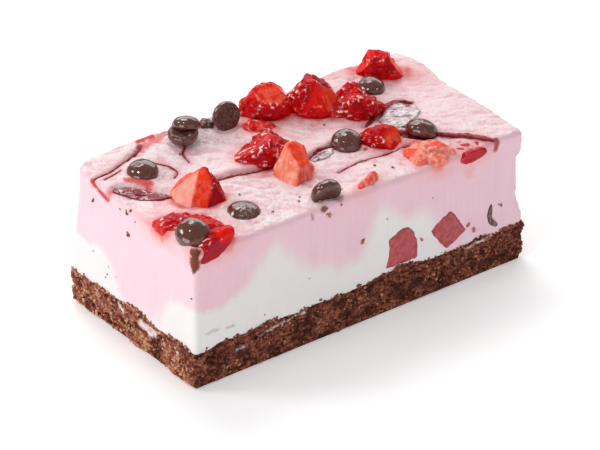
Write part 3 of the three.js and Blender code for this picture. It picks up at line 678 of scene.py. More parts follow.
# How far a place on the top is from a topping's foot, in millimetres, negative under it
def fromFoot(x, y, item):
    turn = math.radians(item.get("turn", cake["viewerTurn"]))
    offX, offY = x - item["at"][0], y - item["at"][1]
    along = offX * math.cos(turn) + offY * math.sin(turn)
    across = offY * math.cos(turn) - offX * math.sin(turn)
    if "width" in item:
        return np.hypot(along, across) - item["width"] / 2
    halfLong, halfWide = item["size"][0] * 0.46, item["size"][1] * 0.46
    reach = np.hypot(along / halfLong, across / halfWide)
    return (reach - 1) * min(halfLong, halfWide)


# Fine wavy wrinkles that the spreading knife left, along the viewer's right
def wrinkles(x, y):
    along = 0.85 * x - 0.53 * y + 2 * noise(x / 6, y / 6, 31)
    across = 0.53 * x + 0.85 * y + 1.5 * noise(x / 6, y / 6, 37)
    ridges = 1 - np.abs(layeredNoise(along / 4.6, across / 1.6, 5.5, 2)) * 2.4
    fine = layeredNoise(along / 1.8, across / 0.9, 8.5, 2)
    return mousse["wrinkle"] * (ridges + 0.6 * fine) * (0.75 + 0.45 * noise(x / 9, y / 9, 2))


# Small relief of the spread top: wrinkles, creases under the sauce, lips round the toppings
def topRelief(x, y):
    relief = wrinkles(x, y)
    for line in sauceLines:
        nearest, _ = pathDistance(x, y, line["path"])
        relief = relief - 0.25 * hump(nearest, 0, line["half"] + 0.3)
    for item in berries + drops:
        relief = relief + 0.28 * hump(fromFoot(x, y, item), 0.4, 0.8)
    return relief


# Mousse

# Where the grid's lines lie, from -1 to 1: an even step apart, and closer near the edges
def gradedLines(halfSize, step, edgeLines):
    inner = halfSize - edgeLines[-1]
    cells = round(2 * inner / step)
    near = [d / halfSize - 1 for d in edgeLines[:-1]]
    middle = [inner / halfSize * (2 * c / cells - 1) for c in range(cells + 1)]
    return np.array(near + middle + [-value for value in reversed(near)])


# The right end narrows above the sponge and curls out again at the top
def rightReach(y, z):
    curl = 1.9 + 0.9 * smoothStep(4, 12, y)
    ragged = 0.3 * noise(y / 1.6, z / 1.1, 12) + 0.2 * noise(y / 0.7, z / 0.6, 14)
    return 50 - 2.6 * smoothStep(11, 19, z) + (curl - 0.6) * smoothStep(28.8, 30.8, z) + ragged


# A place on the mousse: u and v from side to side, w from its foot (0) to its top (1)
def moussePlace(u, v, w):
    planX, planY = u * mousse["left"], v * mousse["front"]
    fromEdge = np.minimum((1 - np.abs(u)) * mousse["left"], (1 - np.abs(v)) * mousse["front"])
    inRound = np.clip(mousse["edgeRadius"] - fromEdge, 0, None)
    drop = mousse["edgeRadius"] - np.sqrt(np.clip(mousse["edgeRadius"] ** 2 - inRound ** 2, 0, None))
    top = mousseTop(planX, planY) + topRelief(planX, planY) * smoothStep(0, 1.5, fromEdge + 0.3) - drop
    base = spongeTop(planX, planY) + 0.3 * noise(planX / 1.5, planY / 1.5, 6)
    inFoot = (w < 0).astype(float)
    z = np.where(w < 0, base - mousse["footDepth"], base + w * (top - base))
    inset = mousse["footInset"] * inFoot
    right = np.where(u > 0, rightReach(planY, z), mousse["left"]) - inset
    deep = np.where(v > 0, mousse["back"], mousse["front"]) - inset
    wave = 1 + 0.25 / mousse["left"] * noise(planX / 9, planY / 9, z / 9)
    backLeft = (u < 0) & (v > 0)
    radius = np.where(backLeft, 0.6 + 5.2 * smoothStep(10, 34, z), np.where(u > 0, 2, 1))
    x, y = roundedPlan(u, v, right * wave, deep * wave, radius)
    return np.c_[x, y, z]


# A grid for the top with its rim drawn down in rows; also where its points lie, and its skin as a tree
def buildMousseShape():
    uLines = gradedLines(mousse["left"], mousse["step"], mousse["edgeLines"])
    vLines = gradedLines(mousse["front"], mousse["step"], mousse["edgeLines"])
    deselectAll()
    bpy.ops.mesh.primitive_grid_add(x_subdivisions=len(uLines) - 1, y_subdivisions=len(vLines) - 1, size=2)
    piece = startPiece("mousse_pink_and_white")
    bpy.ops.object.mode_set(mode="EDIT")
    bpy.ops.mesh.select_mode(type="EDGE")
    bpy.ops.mesh.select_all(action="SELECT")
    bpy.ops.mesh.region_to_loop()
    bpy.ops.mesh.extrude_region_move(TRANSFORM_OT_translate={"value": (0, 0, -1)})
    bpy.ops.object.mode_set(mode="OBJECT")
    pick(piece, "edges", lambda ends: ends[0][2] != ends[1][2])
    bpy.ops.mesh.subdivide(number_cuts=mousse["sideRows"] - 1)
    bpy.ops.object.mode_set(mode="OBJECT")
    pick(piece, "edges", lambda ends: ends[:, 2].max() < -0.9999)
    bpy.ops.mesh.edge_face_add()
    bpy.ops.object.mode_set(mode="OBJECT")
    grid = points(piece)
    columns = np.rint((grid[:, 0] + 1) / 2 * (len(uLines) - 1)).astype(int)
    rows = np.rint((grid[:, 1] + 1) / 2 * (len(vLines) - 1)).astype(int)
    level = np.rint(-grid[:, 2] * mousse["sideRows"])
    w = np.where(level >= mousse["sideRows"], -1, 1 - level / (mousse["sideRows"] - 1))
    places = moussePlace(uLines[columns], vLines[rows], w)
    movePoints(piece, insideCad(places))
    recalculateNormals(piece)
    shadeSmooth(piece)
    _, faces = facesInOrder(piece, np.c_[columns, rows, level])
    return piece, places, BVHTree.FromPolygons(points(piece).tolist(), faces)


# Height of the seam between the two mousses on the two cut sides that show, left to right
frontSeam = [
    (-50, 21), (-47, 19.5), (-42, 20.5), (-37, 22), (-34, 24), (-32, 27), (-30, 29.5), (-28, 30.5),
    (-25, 29), (-23, 27), (-20, 23.5), (-17, 21), (-13, 20), (-9, 18.5), (-7, 17), (-4, 18.5), (-1, 19.5),
    (1, 24), (2.5, 29), (4.5, 30), (7, 28.5), (9, 26), (13, 25), (18, 24), (21, 21), (24, 13), (28, 8),
]
leftSeam = [  # by -y
    (-25, 20), (-13, 20), (-10.2, 19), (-8.2, 17), (-6.8, 14.5), (-5.6, 12.5), (-4, 10), (9, 10), (12, 13.5),
    (14, 18), (16, 19.5), (20, 20.5), (25, 21.5),
]
swirl = {
    "level": 20, "reach": 10,
    "back": [(6, -20, 8), (-11, 8, 6), (5, 30, 7)],
    "right": [(-5, 12, 5)],
}


# How high the white mousse reaches: as drawn on the sides that show, smooth between them
def seamHeight(x, y):
    height = swirl["level"] + np.zeros(np.shape(x))
    for rise, centre, reach in swirl["back"]:
        height = height + rise * hump(x, centre, reach) * hump(y, sponge["half"][1], swirl["reach"])
    for rise, centre, reach in swirl["right"]:
        height = height + rise * hump(y, centre, reach) * hump(x, sponge["half"][0], swirl["reach"])
    atFront = hump(y, -mousse["front"], 8)
    atLeft = hump(x, -mousse["left"], 4) * (1 - 0.5 * atFront)
    height = blend(height, np.interp(x, *zip(*frontSeam)), atFront)
    return blend(height, np.interp(-y, *zip(*leftSeam)), atLeft)


seamBlur = (-1.6, -0.8, 0, 0.8, 1.6)  # steps along the sides over which the seam is smeared


# How white the mousse is: the seam is soft, drawn out sideways, and wispy
def whiteShare(x, y, z):
    wisps = 1.1 * noise(x / 3, y / 3, z / 9) + 0.8 * noise(x / 1.1, y / 1.1, z / 14)
    softness = 1.6 + 1.2 * smoothStep(-40, -30, x) + 2 * smoothStep(10, 20, x) + 0.8 * noise(x / 6, y / 6, 3)
    share = sum(1 - smoothStep(-softness, softness, z - seamHeight(x + shift, y + shift) - wisps)
                for shift in seamBlur) / len(seamBlur)
    pale = 0.45 * hump(z, 11.5, 1.6) * (hump(x, 18.5, 2) + hump(x, 31.5, 2)) * hump(y, -mousse["front"], 3)
    return np.clip(share + pale + 0.16 * smoothStep(-47, -50, x), 0, 1)


wetPatches = [  # middle and reach of the places on the top that shine
    ((-22, 16.5), 5), ((-15.5, 16.5), 4.5), ((27.5, 0), 5), ((9, -6), 5), ((-36, 8), 5), ((24, -12), 4),
    ((-20, -2.4), 3.4), ((15.5, -12), 4), ((31.5, -21.4), 4),
]
chocolateSmears = [  # middle, reach each way and strength, on the skin of the mousse
    ((-50, -24.4, 33.4), (1.7, 1.7, 2.6), 1), ((-49.4, -24, 35.8), (2, 2, 0.9), 1),
    ((-13, -24.6, 35), (1.1, 1, 0.8), 0.9), ((-8, -23.6, 36), (1.3, 1.6, 1), 0.45),
    ((-45, -24.6, 14), (2.4, 1, 0.5), 0.3), ((-40, -24.6, 13.4), (1.4, 1, 0.4), 0.4),
]

# Juice and sauce drawn along a path on the skin: half width, strength, and how much height counts
juiceMarks = [
    {"path": [(-43, 9.6, 37), (-41.4, 7.9, 37), (-40.2, 6.2, 37)], "half": 1.4, "strength": 0.8,
     "tall": 0.1},
    {"path": [(-49.7, 15.4, 36.5), (-49.9, 12.4, 35.7), (-49.9, 9.8, 34.9), (-49.6, 8.6, 35),
     (-48.8, 8.4, 36)], "half": 0.75, "strength": 0.85, "tall": 1},
    {"path": [(-49.8, 9.2, 35.6), (-48.4, 8.4, 36.4)], "half": 1.2, "strength": 0.5, "tall": 1},
    {"path": [(-31.5, 22.1, 37.8), (-29.3, 22.9, 37.8), (-27.6, 22.5, 37.8)], "half": 1, "strength": 1,
     "tall": 0.5},
    {"path": [(-33.4, 18.9, 37.8), (-31.2, 20.2, 37.8), (-27.2, 21.1, 37.8), (-22.4, 22.8, 37.8)],
     "half": 1.2, "strength": 0.6, "tall": 0.5},
    {"path": [(-49.4, -23.4, 35.6), (-49.8, -24.2, 34.4)], "half": 1.1, "strength": 0.35, "tall": 1},
    {"path": [(36, -24.6, 34.5), (39.6, -24.6, 33.4)], "half": 0.5, "strength": 0.4, "tall": 1},
    {"path": [(-42.5, -24.6, 36), (-47, -24.6, 33.4)], "half": 1.2, "strength": 0.5, "tall": 1},
    {"path": [(31.8, -24.6, 33.4), (31.2, -24.6, 30.4)], "half": 1.3, "strength": 0.32, "tall": 0.6},
    {"path": [(20.3, -24.6, 33.8), (23, -24.6, 32.6)], "half": 0.9, "strength": 0.34, "tall": 0.6},
]
stainMarks = [
    {"path": [(-34.2, 19, 37.8), (-32.6, 20.4, 37.8)], "half": 0.8, "strength": 1, "tall": 0.5},
    {"path": [(39.5, -24, 36.5), (39.6, -24.7, 34.6), (39.2, -24.7, 33.8)], "half": 0.7, "strength": 0.9,
     "tall": 1},
    {"path": [(-16.6, -24.6, 35.8), (-16.4, -24.6, 33.4)], "half": 0.22, "strength": 0.75, "tall": 1},
    {"path": [(-49.7, 15.5, 36.6), (-49.9, 12.2, 35.6), (-49.9, 9, 34.5)], "half": 0.3, "strength": 0.6,
     "tall": 1},
]


# Distance from places to a straight run between two points, with height counted so much
def runDistance(places, start, end, tall=1):
    weights = (1, 1, tall)
    off, run = (places - start) * weights, np.subtract(end, start) * weights
    t = np.clip(off @ run / (run @ run), 0, 1)
    return np.linalg.norm(off - t[:, None] * run, axis=1)


def markShare(marks, places):
    share = np.zeros(len(places))
    wobble = 0.5 * noise(*places.T / 0.9)
    for mark in marks:
        for start, end in zip(mark["path"], mark["path"][1:]):
            distance = runDistance(places, start, end, mark["tall"]) / mark["half"]
            share = np.maximum(share, mark["strength"] * smoothStep(1.5, 0.5, distance + wobble))
    return share


# How juice soaks into the mousse; the last share is a painted pink glow in the shade beside the sauce
soaking = {"juice": 0.4, "reach": 1.2, "crushedReach": 1.1, "footReach": 0.7, "shadeGlowBesideSauce": 0.2}


# The layers that colour the mousse: white and pink, painted highlights on the wrinkles' crests, juice, sauce,
# chocolate and wetness
def paintMousse(piece, places):
    x, y, z = places.T
    below = mousseTop(x, y) - z
    atTop = smoothStep(1.5, 0.3, below)
    fromSide = np.minimum(mousse["left"] - np.abs(x), mousse["front"] - np.abs(y))
    nearTop = atTop * smoothStep(0, 1.2, fromSide)
    paint(piece, "whiteShare", whiteShare(x, y, z) * (1 - nearTop))
    paint(piece, "topShare", nearTop)
    inside = smoothStep(0, 1.4, fromSide)
    # The wrinkles' crests are painted paler: a painted highlight
    crests = wrinkles(x, y) / mousse["wrinkle"] + 0.4 * noise(x / 0.55, y / 0.55, 21)
    paler = (0.15 + 0.7 * inside) * (1 - 0.35 * smoothStep(-10, 30, x))
    paint(piece, "ridge", paler * smoothStep(-0.2, 0.6, crests))
    juice, redFoot = np.zeros(len(x)), np.zeros(len(x))
    for item in berries:
        strength = 0.6 * min(1, item["crush"]) + soaking["juice"]
        spread = soaking["reach"] + soaking["crushedReach"] * smoothStep(0.6, 0.9, item["crush"])
        away = np.clip(fromFoot(x, y, item), 0, None)
        juice = np.maximum(juice, strength * np.exp(-away / spread))
        redFoot = np.maximum(redFoot, 0.75 * item["crush"] * np.exp(-away / soaking["footReach"]))
    juice = np.maximum(juice * (0.7 + 0.5 * layeredNoise(x / 2, y / 2, z / 2)), redFoot)
    juice = juice * smoothStep(6, 0.5, below)
    stain, smear, wet = (np.zeros(len(x)) for _ in range(3))
    for line in sauceLines:
        nearest, _ = pathDistance(x, y, line["path"])
        # Around each run of sauce the mousse is painted pinker, carried in the juice layer: a painted glow
        # for light through the mousse in shade
        shadeGlow = hump(nearest, 0, 1.6 + line["half"]) * nearTop
        juice = np.maximum(juice, soaking["shadeGlowBesideSauce"] * shadeGlow)
        stain = np.maximum(stain, 0.8 * np.exp(-np.clip(nearest - line["half"] * 0.6, 0, None) / 0.28))
    paint(piece, "juice", np.clip(np.maximum(juice, markShare(juiceMarks, places)), 0, 1))
    stain = stain * atTop * (1 + 0.4 * noise(x, y, 5))
    paint(piece, "sauceStain", np.clip(np.maximum(stain, markShare(stainMarks, places)), 0, 1))
    ragged = 0.16 * noise(x / 0.6, y / 0.6, z / 0.6)
    for (cx, cy, cz), (rx, ry, rz), strength in chocolateSmears:
        spot = hump(x, cx, rx) * hump(y, cy, ry) * hump(z, cz, rz)
        smear = np.maximum(smear, strength * smoothStep(0.3, 0.5, spot + ragged))
    paint(piece, "smear", smear)
    for (cx, cy), reach in wetPatches:
        wet = np.maximum(wet, hump(np.hypot(x - cx, y - cy), 0, reach))
    wet = smoothStep(0.25, 0.7, wet + 0.35 * layeredNoise(x / 2, y / 2, 3)) * nearTop
    paint(piece, "wet", wet)


# Sponge: an outline with its sides drawn up in fine rows, pitted and crumbly

creamInSponge = [  # thin lines and pockets of mousse pressed into the sponge: ends, half width
    ((-31, -24.6, 8.1), (-18, -24.6, 9.4), 0.14), ((31, -24.6, 9), (39, -24.6, 10.2), 0.2),
    ((-38, -24.6, 6.4), (-36, -24.6, 6.8), 0.2), ((-41, -24.6, 3), (-40.6, -24.6, 3), 0.25),
    ((-50, -4, 8), (-50, -9, 7.4), 0.9), ((-50, 3, 7.6), (-50, 5, 8.6), 0.6),
    ((-50, -13, 7), (-50, -13.6, 6.6), 0.35), ((-50, -14, 5), (-50, -14.4, 5), 0.3),
    ((-50, -18, 7), (-50, -18.3, 7), 0.3),
]


def creamShare(places):
    share = np.zeros(len(places))
    wobble = 0.25 * noise(*places.T * 1.3)
    for start, end, half in creamInSponge:
        distance = runDistance(places, start, end)
        share = np.maximum(share, smoothStep(half + 0.25, half - 0.1, distance + wobble))
    return share


# How deep in an air hole or a crack of the crumb a place lies
def spongePit(x, y, z):
    size = sponge["pitSize"]
    near, second = cellDistances(x / size, y / size, z / size)
    pit = smoothStep(0.42, 0.12, near) * smoothStep(0.1, 0.5, noise(x / 2.2, y / 2.2, z / 2.2) + 0.45)
    crack = smoothStep(0.12, 0, second - near)
    return np.clip(pit + 0.45 * crack, 0, 1)


# Painted light on the sponge's sides: the long cut side is painted darker as shade, the short side painted
# lighter as light
def paintedSideShading(x, y):
    side = 1 - 0.4 * smoothStep(-23.4, -24.4, y) * smoothStep(-50.4, -49.4, x)
    return side + 0.14 * smoothStep(-49, -49.8, x) * smoothStep(-10, 20, y)


# Moist dark patches, and painted shade of air holes, a few millimetres wide, between drier crumb
def spongePatches(x, y, z):
    moist = smoothStep(0.05, 0.5, noise(x / 3.4, y / 3.4, z / 2.4 + 20))
    hole = smoothStep(0.3, 0.5, noise(x / 1.9, y / 1.9, z / 1.6 + 60))
    return (1.08 - 0.34 * moist + 0.18 * noise(x / 1.3, y / 1.3, z / 1.3)) * (1 - 0.6 * hole)


# The box that the sponge's solid fills
spongeLow, spongeHigh = (np.array(corner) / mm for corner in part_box("sponge_base"))


# A place on the sponge: u and v from side to side, w from its foot (0) to its top (1)
def spongePlace(u, v, w):
    x, y = roundedPlan(u, v, *sponge["half"], sponge["cornerRadius"])
    onSide = np.maximum(np.abs(u), np.abs(v)) > 0.999
    top = spongeTop(x, y) + 0.5 * noise(x / 2, y / 2, 9) + 0.3 * noise(x / 0.8, y / 0.8, 4)
    foot = sponge["edgeLift"] + 0.3 * noise(x / 6, y / 6, 5) + 0.2 * noise(x / 1.2, y / 1.2, 2)
    z = foot + w * (top - foot)
    cragSize, grainSize = sponge["cragSize"], sponge["grainSize"]
    crag = sponge["cragDepth"] * noise(x / cragSize, y / cragSize, z / cragSize)
    tuck = 0.5 * smoothStep(1.8, 0, z)
    groove = np.where(u > 0.99, 1.1 * hump(z, 6.4, 1.1), 0)
    pit = spongePit(x, y, z)
    grain = layeredNoise(x / grainSize, y / grainSize, z / grainSize, 2)
    outward = crag - tuck - groove - sponge["pitDepth"] * pit + sponge["grainDepth"] * grain
    x = x + np.where(np.abs(u) > 0.999, np.sign(u) * outward, 0)
    y = y + np.where(np.abs(v) > 0.999, np.sign(v) * outward, 0)
    z = z + 0.25 * noise(x / 0.7, y / 0.7, z / 0.7) * smoothStep(0, 0.2, w) * smoothStep(1, 0.85, w)
    x = np.clip(x, spongeLow[0] + 0.02, spongeHigh[0] - 0.02)
    y = np.clip(y, spongeLow[1] + 0.02, spongeHigh[1] - 0.02)
    return np.where(onSide[:, None], np.c_[x, y, z], np.c_[x, y, w * top]), pit, grain


def buildSponge():
    halfX, halfY = sponge["half"]
    cutsX, cutsY = (round(2 * half / sponge["step"]) - 1 for half in (halfX, halfY))
    rows = round(sponge["height"] / sponge["step"])
    deselectAll()
    bpy.ops.mesh.primitive_plane_add(size=2)
    piece = startPiece("chocolate_sponge")
    bpy.ops.object.mode_set(mode="EDIT")
    bpy.ops.mesh.select_all(action="SELECT")
    bpy.ops.mesh.delete(type="ONLY_FACE")
    pick(piece, "edges", lambda ends: abs(ends[0][1] - ends[1][1]) < 0.001)
    bpy.ops.mesh.subdivide(number_cuts=cutsX)
    pick(piece, "edges", lambda ends: abs(ends[0][0] - ends[1][0]) < 0.001)
    bpy.ops.mesh.subdivide(number_cuts=cutsY)
    bpy.ops.mesh.select_all(action="SELECT")
    bpy.ops.mesh.extrude_region_move(TRANSFORM_OT_translate={"value": (0, 0, 1)})
    bpy.ops.object.mode_set(mode="OBJECT")
    pick(piece, "edges", lambda ends: ends[0][2] != ends[1][2])
    bpy.ops.mesh.subdivide(number_cuts=rows - 1)
    for level in (0, 1):
        pick(piece, "edges", lambda ends: np.abs(ends[:, 2] - level).max() < 0.0001)
        bpy.ops.mesh.edge_face_add()
        bpy.ops.mesh.inset(thickness=0.02)
    bpy.ops.object.mode_set(mode="OBJECT")
    u, v, w = points(piece).T
    faceOrder, _ = facesInOrder(piece, np.rint(points(piece) * 1000))
    places, pit, grain = spongePlace(u, v, w)
    movePoints(piece, places)
    # Crumb tone from the grain, with painted shade in the pits and cracks, times the patches
    tone = np.clip(0.5 + 0.45 * grain - 0.8 * pit, 0, 1) * spongePatches(*places.T)
    paint(piece, "tone", tone * paintedSideShading(*places.T[:2]))
    paint(piece, "cream", creamShare(places))
    recalculateNormals(piece)
    shadeSmooth(piece)
    return piece, faceOrder


# Loose crumb: one small angular lump, copied with its own size, turn and shade of brown
crumb = {
    "count": 5200, "smallest": 0.22, "largest": 0.7, "overSeam": 900, "squash": (1, 0.8, 0.65),
    "low": (-49.95, -24.65), "high": (49, 24.4),  # how far out those over the seam may lie
    "onTop": [  # place on the mousse (x, y, z) and radius
        (-50, 0, 36, 0.5), (-49.9, 4, 34.6, 0.35), (-26, -9.5, 36, 0.4), (-24, -19.5, 36, 0.5),
        (-16.4, -19.5, 36, 0.45), (-15.2, -18.2, 36, 0.35), (8, -17, 36, 0.5), (11, -20, 36, 0.5),
        (10.5, 5, 37, 0.35), (11, -10, 36.5, 0.55), (-26.5, 13, 37, 0.45), (-21, 16, 37, 0.4),
        (-0.2, 10.5, 37, 0.3), (-1.5, -24.6, 22.3, 0.8), (-1, -24.6, 22.9, 0.45), (31.5, -24.6, 15.5, 0.6),
        (33.5, -24.6, 13.5, 0.85), (17, -24.6, 16.5, 0.55), (42, -24.6, 17.5, 0.6), (-11.5, -24.6, 33, 0.7),
        (-49.9, 15, 31.8, 0.6), (-49.9, 0.7, 29.3, 0.75), (-49.9, 1, 34.8, 0.6), (-49.9, -2, 34, 0.3),
        (-49.9, -23.5, 24, 0.35), (-17, -24.6, 18, 0.3), (-30, -24.6, 13, 0.3), (6, -24.6, 26, 0.25),
        (20, -24.6, 27, 0.25), (-5, -21, 36, 0.3), (-12.5, -22.5, 36, 0.5), (-8, -24, 34.5, 0.4),
        (-49.9, 15.5, 18, 0.28), (-49.9, 9.4, 16.6, 0.22), (-49.9, 9.8, 14.4, 0.34),
        (-49.9, 10.4, 13.4, 0.26), (-49.9, 6.2, 15.4, 0.2), (50, -8, 31, 0.5), (49.5, 3, 27, 0.4),
        (48.5, -15, 22, 0.5),
    ],
}


# Four lumps with their places and faces, each dented in its own way
def crumbShapes():
    shapes = []
    for number in range(4):
        deselectAll()
        bpy.ops.mesh.primitive_ico_sphere_add(subdivisions=1, radius=1)
        lump = startPiece("crumb_shape")
        co = points(lump)
        faces = [tuple(p.vertices) for p in lump.data.polygons]
        dents = noise(co[:, 0] * 1.7 + 9 * number, co[:, 1] * 1.7, co[:, 2] * 1.7)
        shapes.append((co * crumb["squash"] * (1 + 0.35 * dents)[:, None], faces))
        bpy.data.objects.remove(lump)
    return shapes


# A turn about any axis, all equally likely
def randomTurn():
    q = chance.normal(size=4)
    w, x, y, z = q / np.linalg.norm(q)
    return np.array([
        [1 - 2 * (y * y + z * z), 2 * (x * y - w * z), 2 * (x * z + w * y)],
        [2 * (x * y + w * z), 1 - 2 * (x * x + z * z), 2 * (y * z - w * x)],
        [2 * (x * z - w * y), 2 * (y * z + w * x), 1 - 2 * (x * x + y * y)],
    ])


# One mesh of crumbs, from the place, radius and tone of each
def scatterCrumbs(name, spots):
    shapes = crumbShapes()
    places, faces, tones = [], [], []
    count = 0
    for number, (place, radius, tone) in enumerate(spots):
        co, shapeFaces = shapes[number % len(shapes)]
        places.append(co @ randomTurn().T * radius + place)
        faces += [tuple(corner + count for corner in face) for face in shapeFaces]
        tones.append(np.full(len(co), tone))
        count += len(co)
    piece = meshPiece(name, insideCad(np.vstack(places)), faces)
    paint(piece, "tone", np.concatenate(tones))
    paint(piece, "cream", creamShare(np.vstack(places)) * 0.8)
    return piece


# One step along a side, level and at right angles to the way it faces
def alongSide(facing):
    length = max(np.hypot(facing[0], facing[1]), 0.001)
    return np.array([-facing[1], facing[0], 0]) / length


# Where crumbs lie: stuck to the sponge's sides, and strewn over the seam above it
def spongeCrumbs(piece, faceOrder):
    flat = np.array([p.center for p in piece.data.polygons])[faceOrder] / mm
    facing = np.array([p.normal for p in piece.data.polygons])[faceOrder]
    onSide = np.nonzero((np.abs(facing[:, 2]) < 0.9) & (flat[:, 2] > 0.3) & (flat[:, 2] < 12.8))[0]
    chosen = chance.choice(onSide, crumb["count"])
    spots = []
    for index in chosen:
        radius = crumb["smallest"] + (crumb["largest"] - crumb["smallest"]) * chance.uniform() ** 2.2
        outward = facing[index] * np.array([1, 1, 0.3])
        place = flat[index] + outward * radius * chance.uniform(-0.5, 0.35)
        place += alongSide(facing[index]) * chance.uniform(-0.25, 0.25)
        place[2] = max(place[2], radius)
        place[:2] = np.clip(place[:2], spongeLow[:2] + radius, spongeHigh[:2] - radius)
        # Crumbs take the painted shade and light of the side where they sit, and its patches
        shade = float(paintedSideShading(place[0], place[1]) * spongePatches(*place))
        spots.append((place, radius, chance.uniform(0.1, 1.1) * shade))
    for index in chance.choice(onSide[flat[onSide, 2] > 9], crumb["overSeam"]):
        x, y, z = flat[index]
        climb = chance.uniform(-0.5, 0.6) * (0.6 + 0.8 * float(noise(x / 3, y / 3, 77)))
        radius = chance.uniform(0.2, 0.62)
        place = np.array([x, y, float(spongeTop(x, y)) + climb])
        place += alongSide(facing[index]) * chance.uniform(-0.6, 0.6)
        place[:2] = np.clip(place[:2], crumb["low"], crumb["high"])
        spots.append((place, radius, chance.uniform(0.2, 0.9) * float(paintedSideShading(place[0], place[1]))))
    return spots


print("mousse")
mousseBlock, moussePlaces, mousseSkin = buildMousseShape()
paintMousse(mousseBlock, moussePlaces)
finishPiece(mousseBlock, mousseMaterial(), "pink_mousse", "pink_mousse", "white_mousse")

print("sponge")
spongeStuff = spongeMaterial()
spongeBlock, spongeFaces = buildSponge()
finishPiece(spongeBlock, spongeStuff, "chocolate_sponge", "sponge_base")


# The place on the skin of the mousse nearest to a place, and which way the skin faces there
def onSkin(place):
    spot, normal, _, _ = mousseSkin.find_nearest(Vector(place) * mm)
    return np.array(spot) / mm, np.array(normal)


print("crumbs")
edgeCrumbs = scatterCrumbs("sponge_crumbs", spongeCrumbs(spongeBlock, spongeFaces))
finishPiece(edgeCrumbs, spongeStuff, "chocolate_sponge")
strewn = []
for x, y, z, radius in crumb["onTop"]:
    spot, normal = onSkin((x, y, z))
    strewn.append((spot + normal * radius * 0.1, radius, chance.uniform(0.35, 0.75)))
    if radius > 0.5:
        spot, normal = onSkin((x + chance.uniform(-0.8, 0.8), y + chance.uniform(-0.8, 0.8), z + 0.5))
        strewn.append((spot, radius * 0.6, chance.uniform(0.35, 0.75)))
looseCrumbs = scatterCrumbs("loose_crumbs", strewn)
finishPiece(looseCrumbs, spongeStuff, "chocolate_sponge")


# Strawberry pieces

# How each kind of face looks: its colour, how strong the crushed relief on it is, how much pale
# pulp and painted glint its crests show, and how much pale fibre
fleshKinds = {kind: np.array([*linearColour(code), *shares]) for kind, code, *shares in (
    ("deep", "#c4000e", 1, 0.7, 0), ("red", "#dc060c", 0.8, 0.5, 0), ("seedy", "#b00210", 0.9, 0.6, 0),
    ("bright", "#ee180c", 0.6, 0.4, 0), ("orange", "#ff3e12", 0.15, 0.06, 0.18),
    ("juicy", "#ea3c3c", 0.8, 1, 0), ("salmon", "#fb8468", 0.2, 0.3, 0.6),
    ("blush", "#ea5648", 0.3, 0.15, 0.4), ("pale", "#faa092", 0.05, 0, 0.7),
    ("frozen", "#a81430", 0.3, 0, 0), ("cherry", "#c02a40", 0.3, 0, 0), ("flap", "#f0705c", 0.7, 0.7, 0.7),
)}
edgeBlend = 0.12  # over how many millimetres two faces run into each other
crushedLump = 1.7  # size of the lumps of crushed flesh


def directionOf(azimuth, elevation):
    a, e = math.radians(azimuth), math.radians(elevation)
    return np.array([math.cos(e) * math.cos(a), math.cos(e) * math.sin(a), math.sin(e)])


def degreesFrom(direction, azimuth, elevation):
    return np.degrees(np.arccos(np.clip(direction @ directionOf(azimuth, elevation), -1, 1)))


# A sphere made a strawberry piece: places round its middle, colour, pale pulp with painted glints, and fibre
def diceSurface(sphere, item):
    sized = sphere * np.array(item["size"]) / 2
    baseReach = np.linalg.norm(sized, axis=1)
    direction = sized / baseReach[:, None]
    reaches, kinds = [baseReach], [item["skin"]]
    for azimuth, elevation, distance, kind in item.get("cuts", []):
        facing = direction @ directionOf(azimuth, elevation)
        reaches.append(np.where(facing > 0.05, distance / np.clip(facing, 0.05, None), 99))
        kinds.append(kind)
    reaches = np.array(reaches)
    reach = reaches.min(0)
    weights = np.exp(-(reaches - reach) / edgeBlend)
    weights = weights / weights.sum(0)
    for azimuth, elevation, share, width in item.get("lobes", []):
        reach = reach * (1 + share * hump(degreesFrom(direction, azimuth, elevation), 0, width))
    atX, atY = item["at"]
    lump = noise(direction[:, 0] * 2.2 + atX, direction[:, 1] * 2.2 + atY, direction[:, 2] * 2.2)
    surface = direction * (reach * (1 + item["lumps"] * lump))[:, None]
    px, py, pz = (surface + np.array([atX, atY, 0])).T
    look = sum(w[:, None] * fleshKinds[kind] for w, kind in zip(weights, kinds))
    ragged = 0.25 * noise(px / 1.5, py / 1.5, pz / 1.5)
    for azimuth, elevation, width, kind in item.get("zones", []):
        share = smoothStep(1.15, 0.75, degreesFrom(direction, azimuth, elevation) / width + ragged)
        look = blend(look, fleshKinds[kind], share[:, None])
    flesh, (crushed, pulp, fibre) = look[:, :3], look[:, 3:].T
    amount = crushed * item["crush"]
    near, _ = cellDistances(px / crushedLump, py / crushedLump, pz / crushedLump)
    swell = layeredNoise(px / 2.6, py / 2.6, pz / 2.6, 2)
    lumpy = 0.9 * (0.45 - near ** 2) + 0.8 * swell
    strand = hump(noise(px / 1.3, py / 1.3, pz / 1.3 + 40), 0, 0.18)
    surface = surface + direction * (amount * (0.8 * lumpy + 0.3 * strand) + 0.12 * swell)[:, None]
    # Painted shade: the flesh is darkened down in the valleys between the lumps
    valleyShade = smoothStep(0.42, 0.8, near) * np.clip(amount, 0, 1) * 0.25
    flesh = flesh * (1 - valleyShade)[:, None]
    # Pale strokes on crests that face up and to the left, towards the lamps: painted glints, with some pale
    # pulp
    crest = smoothStep(0.6, 0.95, strand) * smoothStep(-0.25, 0.2, noise(px / 1.8, py / 1.8, pz / 1.8 + 9))
    towardsLamps = smoothStep(-0.5, 0.4, direction[:, 2] - 0.3 * direction[:, 0])
    return surface, flesh, np.clip(1.4 * pulp * crest * towardsLamps, 0, 1), fibre


